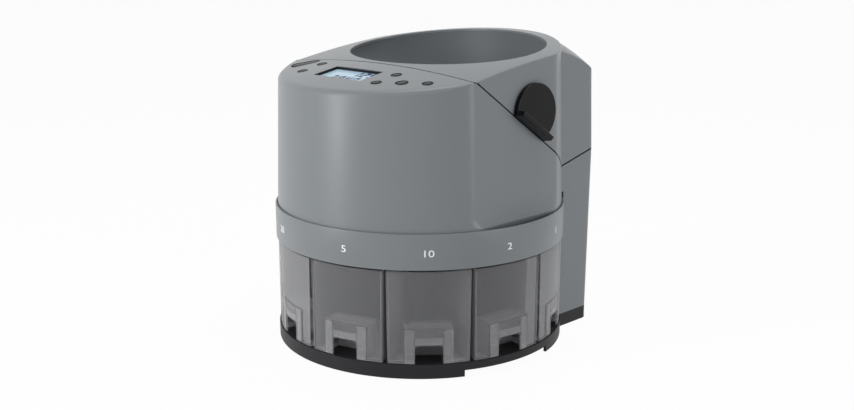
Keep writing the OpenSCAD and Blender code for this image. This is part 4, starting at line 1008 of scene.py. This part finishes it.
def turned_key(x, y, straight, turn, profile, steps=48):
    """Solid around a key axis from a profile of (half width, height), outlined like the key.

    The straight part of a long key shrinks to nothing where its profile closes on the axis.
    """
    points, faces = [], []
    for half, up in profile:
        long = straight if half > 2.1 else straight * max(half - 0.05, 0) / 2.1
        points += [on_panel(x, y, px, py, up) for px, py in key_outline(half, long, turn, steps)]
    for i in range(len(profile) - 1):
        for j in range(steps):
            k = (j + 1) % steps
            faces.append((i * steps + j, i * steps + k, (i + 1) * steps + k, (i + 1) * steps + j))
    return np.array(points), faces


cap_black = moulded("cap_black", (0.008, 0.009, 0.01), 0.3, shine=0.12)
ring_black = moulded("ring_black", (0.003, 0.003, 0.004), 0.5, shine=0.1)
RING_WIDE, KEY_GAP = 1.3, 0.3
RING_FOOT = -3.9
CAP_TOP, CAP_CROWN = -0.35, 0.75
KEY_FOOT, FLANGE_Z = -4.2, -5.4
STEM_R = 2.0
SWITCH_TOP = 15.3
DOME = (0.01, 0.25, 0.5, 0.7, 0.85, 0.95, 1)
ring_sheets = []
for name, (x, y, half, straight, turn) in keys.items():
    inner = half - RING_WIDE
    ring = [(half, RING_FOOT), (half, -0.1), (half - 0.15, 0.15), (half - 0.45, 0.3), (half - 0.8, 0.1),
            (inner, -0.6), (inner, RING_FOOT), (half, RING_FOOT)]
    ring_sheets.append(turned_key(x, y, straight, turn, ring))
    cap_r = inner - KEY_GAP
    dome = [(cap_r * f, CAP_TOP + CAP_CROWN * math.sqrt(1 - (f * 0.98) ** 2)) for f in DOME]
    flange = [(cap_r, KEY_FOOT), (half + 0.2, KEY_FOOT), (half + 0.2, FLANGE_Z), (STEM_R, FLANGE_Z)]
    stem_end = CROWN_R - math.sqrt(CROWN_R * CROWN_R - x * x) - SWITCH_TOP
    stem = [(STEM_R, stem_end), (0.05, stem_end)]
    mesh = make_mesh(name + "_cap", [turned_key(x, y, straight, turn, dome + flange + stem)])
    soften(add_piece(name + "_cap", mesh, cap_black, name, [name]), 0.15, 2)
rings_mesh = make_mesh("key_rings", ring_sheets)
rings = add_piece("key_rings", rings_mesh, ring_black, "chassis", ["button_rings"])
soften(rings, 0.0)

satin_black = moulded("satin_black", (0.006, 0.006, 0.008), 0.34, shine=0.2)
finish_node("display_shroud", satin_black, 0.2)
lcd, nodes, links = new_material("lcd_pale_blue")
shader = nodes["Principled BSDF"]
shader.inputs["Base Color"].default_value = (0.38, 0.52, 0.62, 1)
shader.inputs["Roughness"].default_value = 0.12
shader.inputs["Specular IOR Level"].default_value = 0.15
shader.inputs["Emission Color"].default_value = (0.55, 0.72, 0.86, 1)
shader.inputs["Emission Strength"].default_value = 0.12
PANE_BACK, PANE_FACE = -5.9, -3.5


def window_point(x, y, z):
    return on_panel(window[0], window[1], x, y, z)


pane_edge = round_box(window[2] + 1.2, window[3] + 1.2, 0.8, 2)
pane_mesh = make_mesh("display_pane", [prism(pane_edge, PANE_BACK, PANE_FACE, window_point)])
add_piece("display_pane", pane_mesh, lcd, "chassis", ["display_window"])
ink, nodes, links = new_material("lcd_segments")
shader = nodes["Principled BSDF"]
shader.inputs["Base Color"].default_value = (0.008, 0.03, 0.13, 1)
shader.inputs["Roughness"].default_value = 0.2
shader.inputs["Specular IOR Level"].default_value = 0.1
SEGMENTS = {"0": "abcdef", "1": "bc", "2": "abged", "3": "abgcd", "4": "fgbc", "5": "afgcd", "8": "abcdefg"}


def segment_boxes(digit, x, y, wide, high, bar):
    """Flat bars of one seven-segment digit with its lower left corner at (x, y)."""
    lean = 0.1
    half = high / 2
    across = {"a": high - bar, "g": half - bar / 2, "d": 0}
    up = {"f": (0, half), "b": (wide - bar, half), "e": (0, 0), "c": (wide - bar, 0)}
    shapes = []
    for name in SEGMENTS[digit]:
        if name in across:
            v = across[name]
            shape = [(0.4, v), (wide - 0.4, v), (wide - 0.4 - bar * 0.6, v + bar), (0.4 + bar * 0.6, v + bar)]
        else:
            u, v = up[name]
            shape = [(u, v + 0.5), (u + bar, v + 0.5), (u + bar, v + half - 0.5), (u, v + half - 0.5)]
        shapes.append([(x + px + lean * py, y + py) for px, py in shape])
    return shapes


INK_LOW = PANE_FACE + 0.02
digits = []
for text, left, low in (("125", 1, 1.2), ("3840", -20, -15.8)):
    wide, high, bar_w = 8.6, 14.0, 2.9
    for k, digit in enumerate(text):
        for shape in segment_boxes(digit, left + k * (wide + 3.0), low, wide, high, bar_w):
            digits.append(prism(shape, INK_LOW, INK_LOW + 0.05, window_point))
add_piece("display_digits", make_mesh("display_digits", digits), ink, "chassis")

# ---- Coin cups ----
# Eight pull-out cups of smoky see-through plastic, 2 mm thick, each with a finger opening and the
# pocket behind it. Pale bands of painted light on each front stand for the lit pocket walls and edge
# highlights, and dark lines of painted shade stand for its folds. They stand between the black dividers.

smoke, nodes, links = new_material("smoky_clear")
shader = nodes["Principled BSDF"]
shader.inputs["Base Color"].default_value = (0.34, 0.343, 0.36, 1)
shader.inputs["Sheen Weight"].default_value = 1
shader.inputs["Sheen Roughness"].default_value = 0.5
shader.inputs["Sheen Tint"].default_value = (1, 1, 1, 1)
shader.inputs["Roughness"].default_value = 0.16
shader.inputs["IOR"].default_value = 1.5
shader.inputs["Alpha"].default_value = 0.2
graze = nodes.new("ShaderNodeLayerWeight")
graze.inputs["Blend"].default_value = 0.2
cover = nodes.new("ShaderNodeMapRange")
cover.inputs["To Min"].default_value = 0.2
cover.inputs["To Max"].default_value = 0.6
links.new(graze.outputs["Fresnel"], cover.inputs["Value"])
links.new(cover.outputs["Result"], shader.inputs["Alpha"])
place = nodes.new("ShaderNodeTexCoord")
haze = nodes.new("ShaderNodeTexNoise")
haze.inputs["Scale"].default_value = 30
links.new(place.outputs["Object"], haze.inputs["Vector"])
gloss = nodes.new("ShaderNodeMapRange")
gloss.inputs["To Min"].default_value = 0.12
gloss.inputs["To Max"].default_value = 0.22
links.new(haze.outputs["Fac"], gloss.inputs["Value"])
links.new(gloss.outputs["Result"], shader.inputs["Roughness"])
# Pale see-through paint: painted light for the lit pocket walls and edge highlights on the cup fronts.
smoke_painted_light, nodes, links = new_material("smoky_painted_light")
shader = nodes["Principled BSDF"]
shader.inputs["Base Color"].default_value = (0.7, 0.7, 0.72, 1)
shader.inputs["Roughness"].default_value = 0.3
shader.inputs["Alpha"].default_value = 0.16
# Dark see-through paint: painted shade along the folds and the pocket top of each cup.
smoke_painted_shade, nodes, links = new_material("smoky_painted_shade")
shader = nodes["Principled BSDF"]
shader.inputs["Base Color"].default_value = (0.02, 0.02, 0.024, 1)
shader.inputs["Roughness"].default_value = 0.3
shader.inputs["Alpha"].default_value = 0.55

CUP_R, CUP_FOOT = 162.8, 16.8
CUP_DRAFT = math.tan(math.radians(0.7))
FIRST_CUP, CUP_STEP = 114.8, 32.8
BAND_OUT, BAND_IN = 0.04, -0.3


def cup_band(angle, x0, x1, z0, z1):
    """Thin band laid on the bent front of a cup, which carries its painted light and painted shade, x along
    the front and z up.
    """
    edges = []
    for out, z in ((BAND_OUT, z0), (BAND_OUT, z1), (BAND_IN, z1), (BAND_IN, z0)):
        radius = CUP_R - (z - CUP_FOOT) * CUP_DRAFT + out
        turn = math.radians(angle) + np.linspace(x0, x1, 7) / CUP_R
        edges.append(np.stack([radius * np.sin(turn), -radius * np.cos(turn), 0 * turn + z], -1))
    return strip(edges)


# Painted light on one half of a cup front, as from, to, low and high: the lit side wall of the finger
# pocket, the lit edge of the cup and its floor. Then the lit band over the finger opening, and the fold
# lines, which are painted shade.
PAINTED_LIGHT_BANDS = ((15.4, 25.8, 17.4, 54.2), (42.2, 42.9, 20.2, 113), (26.4, 42.2, 20.2, 20.8))
LINTEL = (-14.6, 14.6, 37.6, 45)
POCKET_TOP = (-26.1, 26.1, 54.3, 54.7)
FOLDS = ((14.8, 15.3, 17.4, 54.2), (25.9, 26.3, 17.4, 54.2))
for k, name in enumerate(["cup_1", "cup_2", "cup_10", "cup_5", "cup_20", "cup_100", "cup_50", "cup_200"]):
    finish_node(name, smoke, 0.5)
    angle = FIRST_CUP - CUP_STEP * k
    bands, lines = [], [cup_band(angle, *POCKET_TOP)]
    for side in (-1, 1):
        bands += [cup_band(angle, side * x0, side * x1, z0, z1) for x0, x1, z0, z1 in PAINTED_LIGHT_BANDS]
        lines += [cup_band(angle, side * x0, side * x1, z0, z1) for x0, x1, z0, z1 in FOLDS]
    bands.append(cup_band(angle, *LINTEL))
    # Pale bands of painted light and dark lines of painted shade on this cup's front.
    add_piece(name + "_edges", make_mesh(name + "_edges", bands), smoke_painted_light, name)
    add_piece(name + "_fold_shade", make_mesh(name + "_fold_shade", lines), smoke_painted_shade, name)

# ---- Sorter ----
# Under the hopper a steel plate with a coin opening for each value, a white rotor driven by a
# brass pinion, white chutes down to the cups and a black sensor beside each chute.

natural_white = moulded("natural_white", (0.68, 0.68, 0.65), 0.45)
brass = plated("turned_brass", (0.72, 0.55, 0.27), 0.3)
sheet_steel = plated("sheet_steel", (0.5, 0.51, 0.53), 0.36)
for name in ["sorting_rotor", "rotor_gear", "coin_chutes", "feed_chute", "button_switches"]:
    finish_node(name, natural_white, 0.25)
for name in ["rotor_bearings", "motor_pinion"]:
    finish_node(name, brass, 0.15)
for name in ["sorting_plate", "rotor_shaft", "sorter_motor", "feed_motor", "display_module"]:
    finish_node(name, sheet_steel, 0.25)
finish_node("coin_sensors", satin_black, 0.2)

# ---- Boards and transformer ----
# Two green printed boards on posts, with steel screws, and a mains transformer of dark varnished
# laminations beside them.

board_green, nodes, links = new_material("solder_resist")
shader = nodes["Principled BSDF"]
shader.inputs["Roughness"].default_value = 0.3
place = nodes.new("ShaderNodeTexCoord")
tracks = nodes.new("ShaderNodeTexBrick")
tracks.inputs["Scale"].default_value = 160
tracks.inputs["Color1"].default_value = (0.012, 0.11, 0.045, 1)
tracks.inputs["Color2"].default_value = (0.016, 0.15, 0.06, 1)
tracks.inputs["Mortar"].default_value = (0.03, 0.24, 0.1, 1)
links.new(place.outputs["Object"], tracks.inputs["Vector"])
links.new(tracks.outputs["Color"], shader.inputs["Base Color"])
for name in ["control_board", "main_board"]:
    finish_node(name, board_green, 0.15)
iron, nodes, links = new_material("varnished_laminations")
shader = nodes["Principled BSDF"]
shader.inputs["Metallic"].default_value = 0.6
place = nodes.new("ShaderNodeTexCoord")
layers = nodes.new("ShaderNodeTexWave")
layers.bands_direction = "Y"
layers.inputs["Scale"].default_value = 300
shade = nodes.new("ShaderNodeMapRange")
shade.inputs["To Min"].default_value = 0.35
shade.inputs["To Max"].default_value = 0.6
links.new(place.outputs["Object"], layers.inputs["Vector"])
links.new(layers.outputs["Fac"], shade.inputs["Value"])
links.new(shade.outputs["Result"], shader.inputs["Roughness"])
shader.inputs["Base Color"].default_value = (0.12, 0.115, 0.11, 1)
finish_node("transformer", iron, 0.4)
finish_node("board_screws", zinc, 0.15)

# ---- Sockets and hinges ----
# Black moulded mains socket with three plated blades, rocker switch and data socket in the rear
# wall, and two black hinges with steel pins above them.

for name in ["mains_inlet", "switch_frame", "power_rocker", "data_port", "hinge_bracket", "hinge_leaf"]:
    finish_node(name, satin_black, 0.3)
finish_node("hinge_pin", zinc, 0.2)


def rear_point(x, y, z):
    """Point beside the socket line on the rear wall: x across, y out of the wall, z up it."""
    wall_y = float(tower_rear(np.array(SOCKET_Z))) - WALL / 2
    return (x, wall_y + y * math.cos(REAR_LEAN) + z * math.sin(REAR_LEAN),
            SOCKET_Z - y * math.sin(REAR_LEAN) + z * math.cos(REAR_LEAN))


blades = []
blade_edge = [(-0.85, -17), (0.85, -17), (0.85, -7.8), (0.5, -7.4), (-0.5, -7.4), (-0.85, -7.8)]
for x, z in ((-67, -2), (-60, 2), (-53, -2)):
    outline = [(x + px, py) for px, py in blade_edge]
    blades.append(prism(outline, z - 2.55, z + 2.55, rear_point))
blade_piece = add_piece("mains_blades", make_mesh("mains_blades", blades), zinc, "chassis")
soften(blade_piece, 0.2, 2)
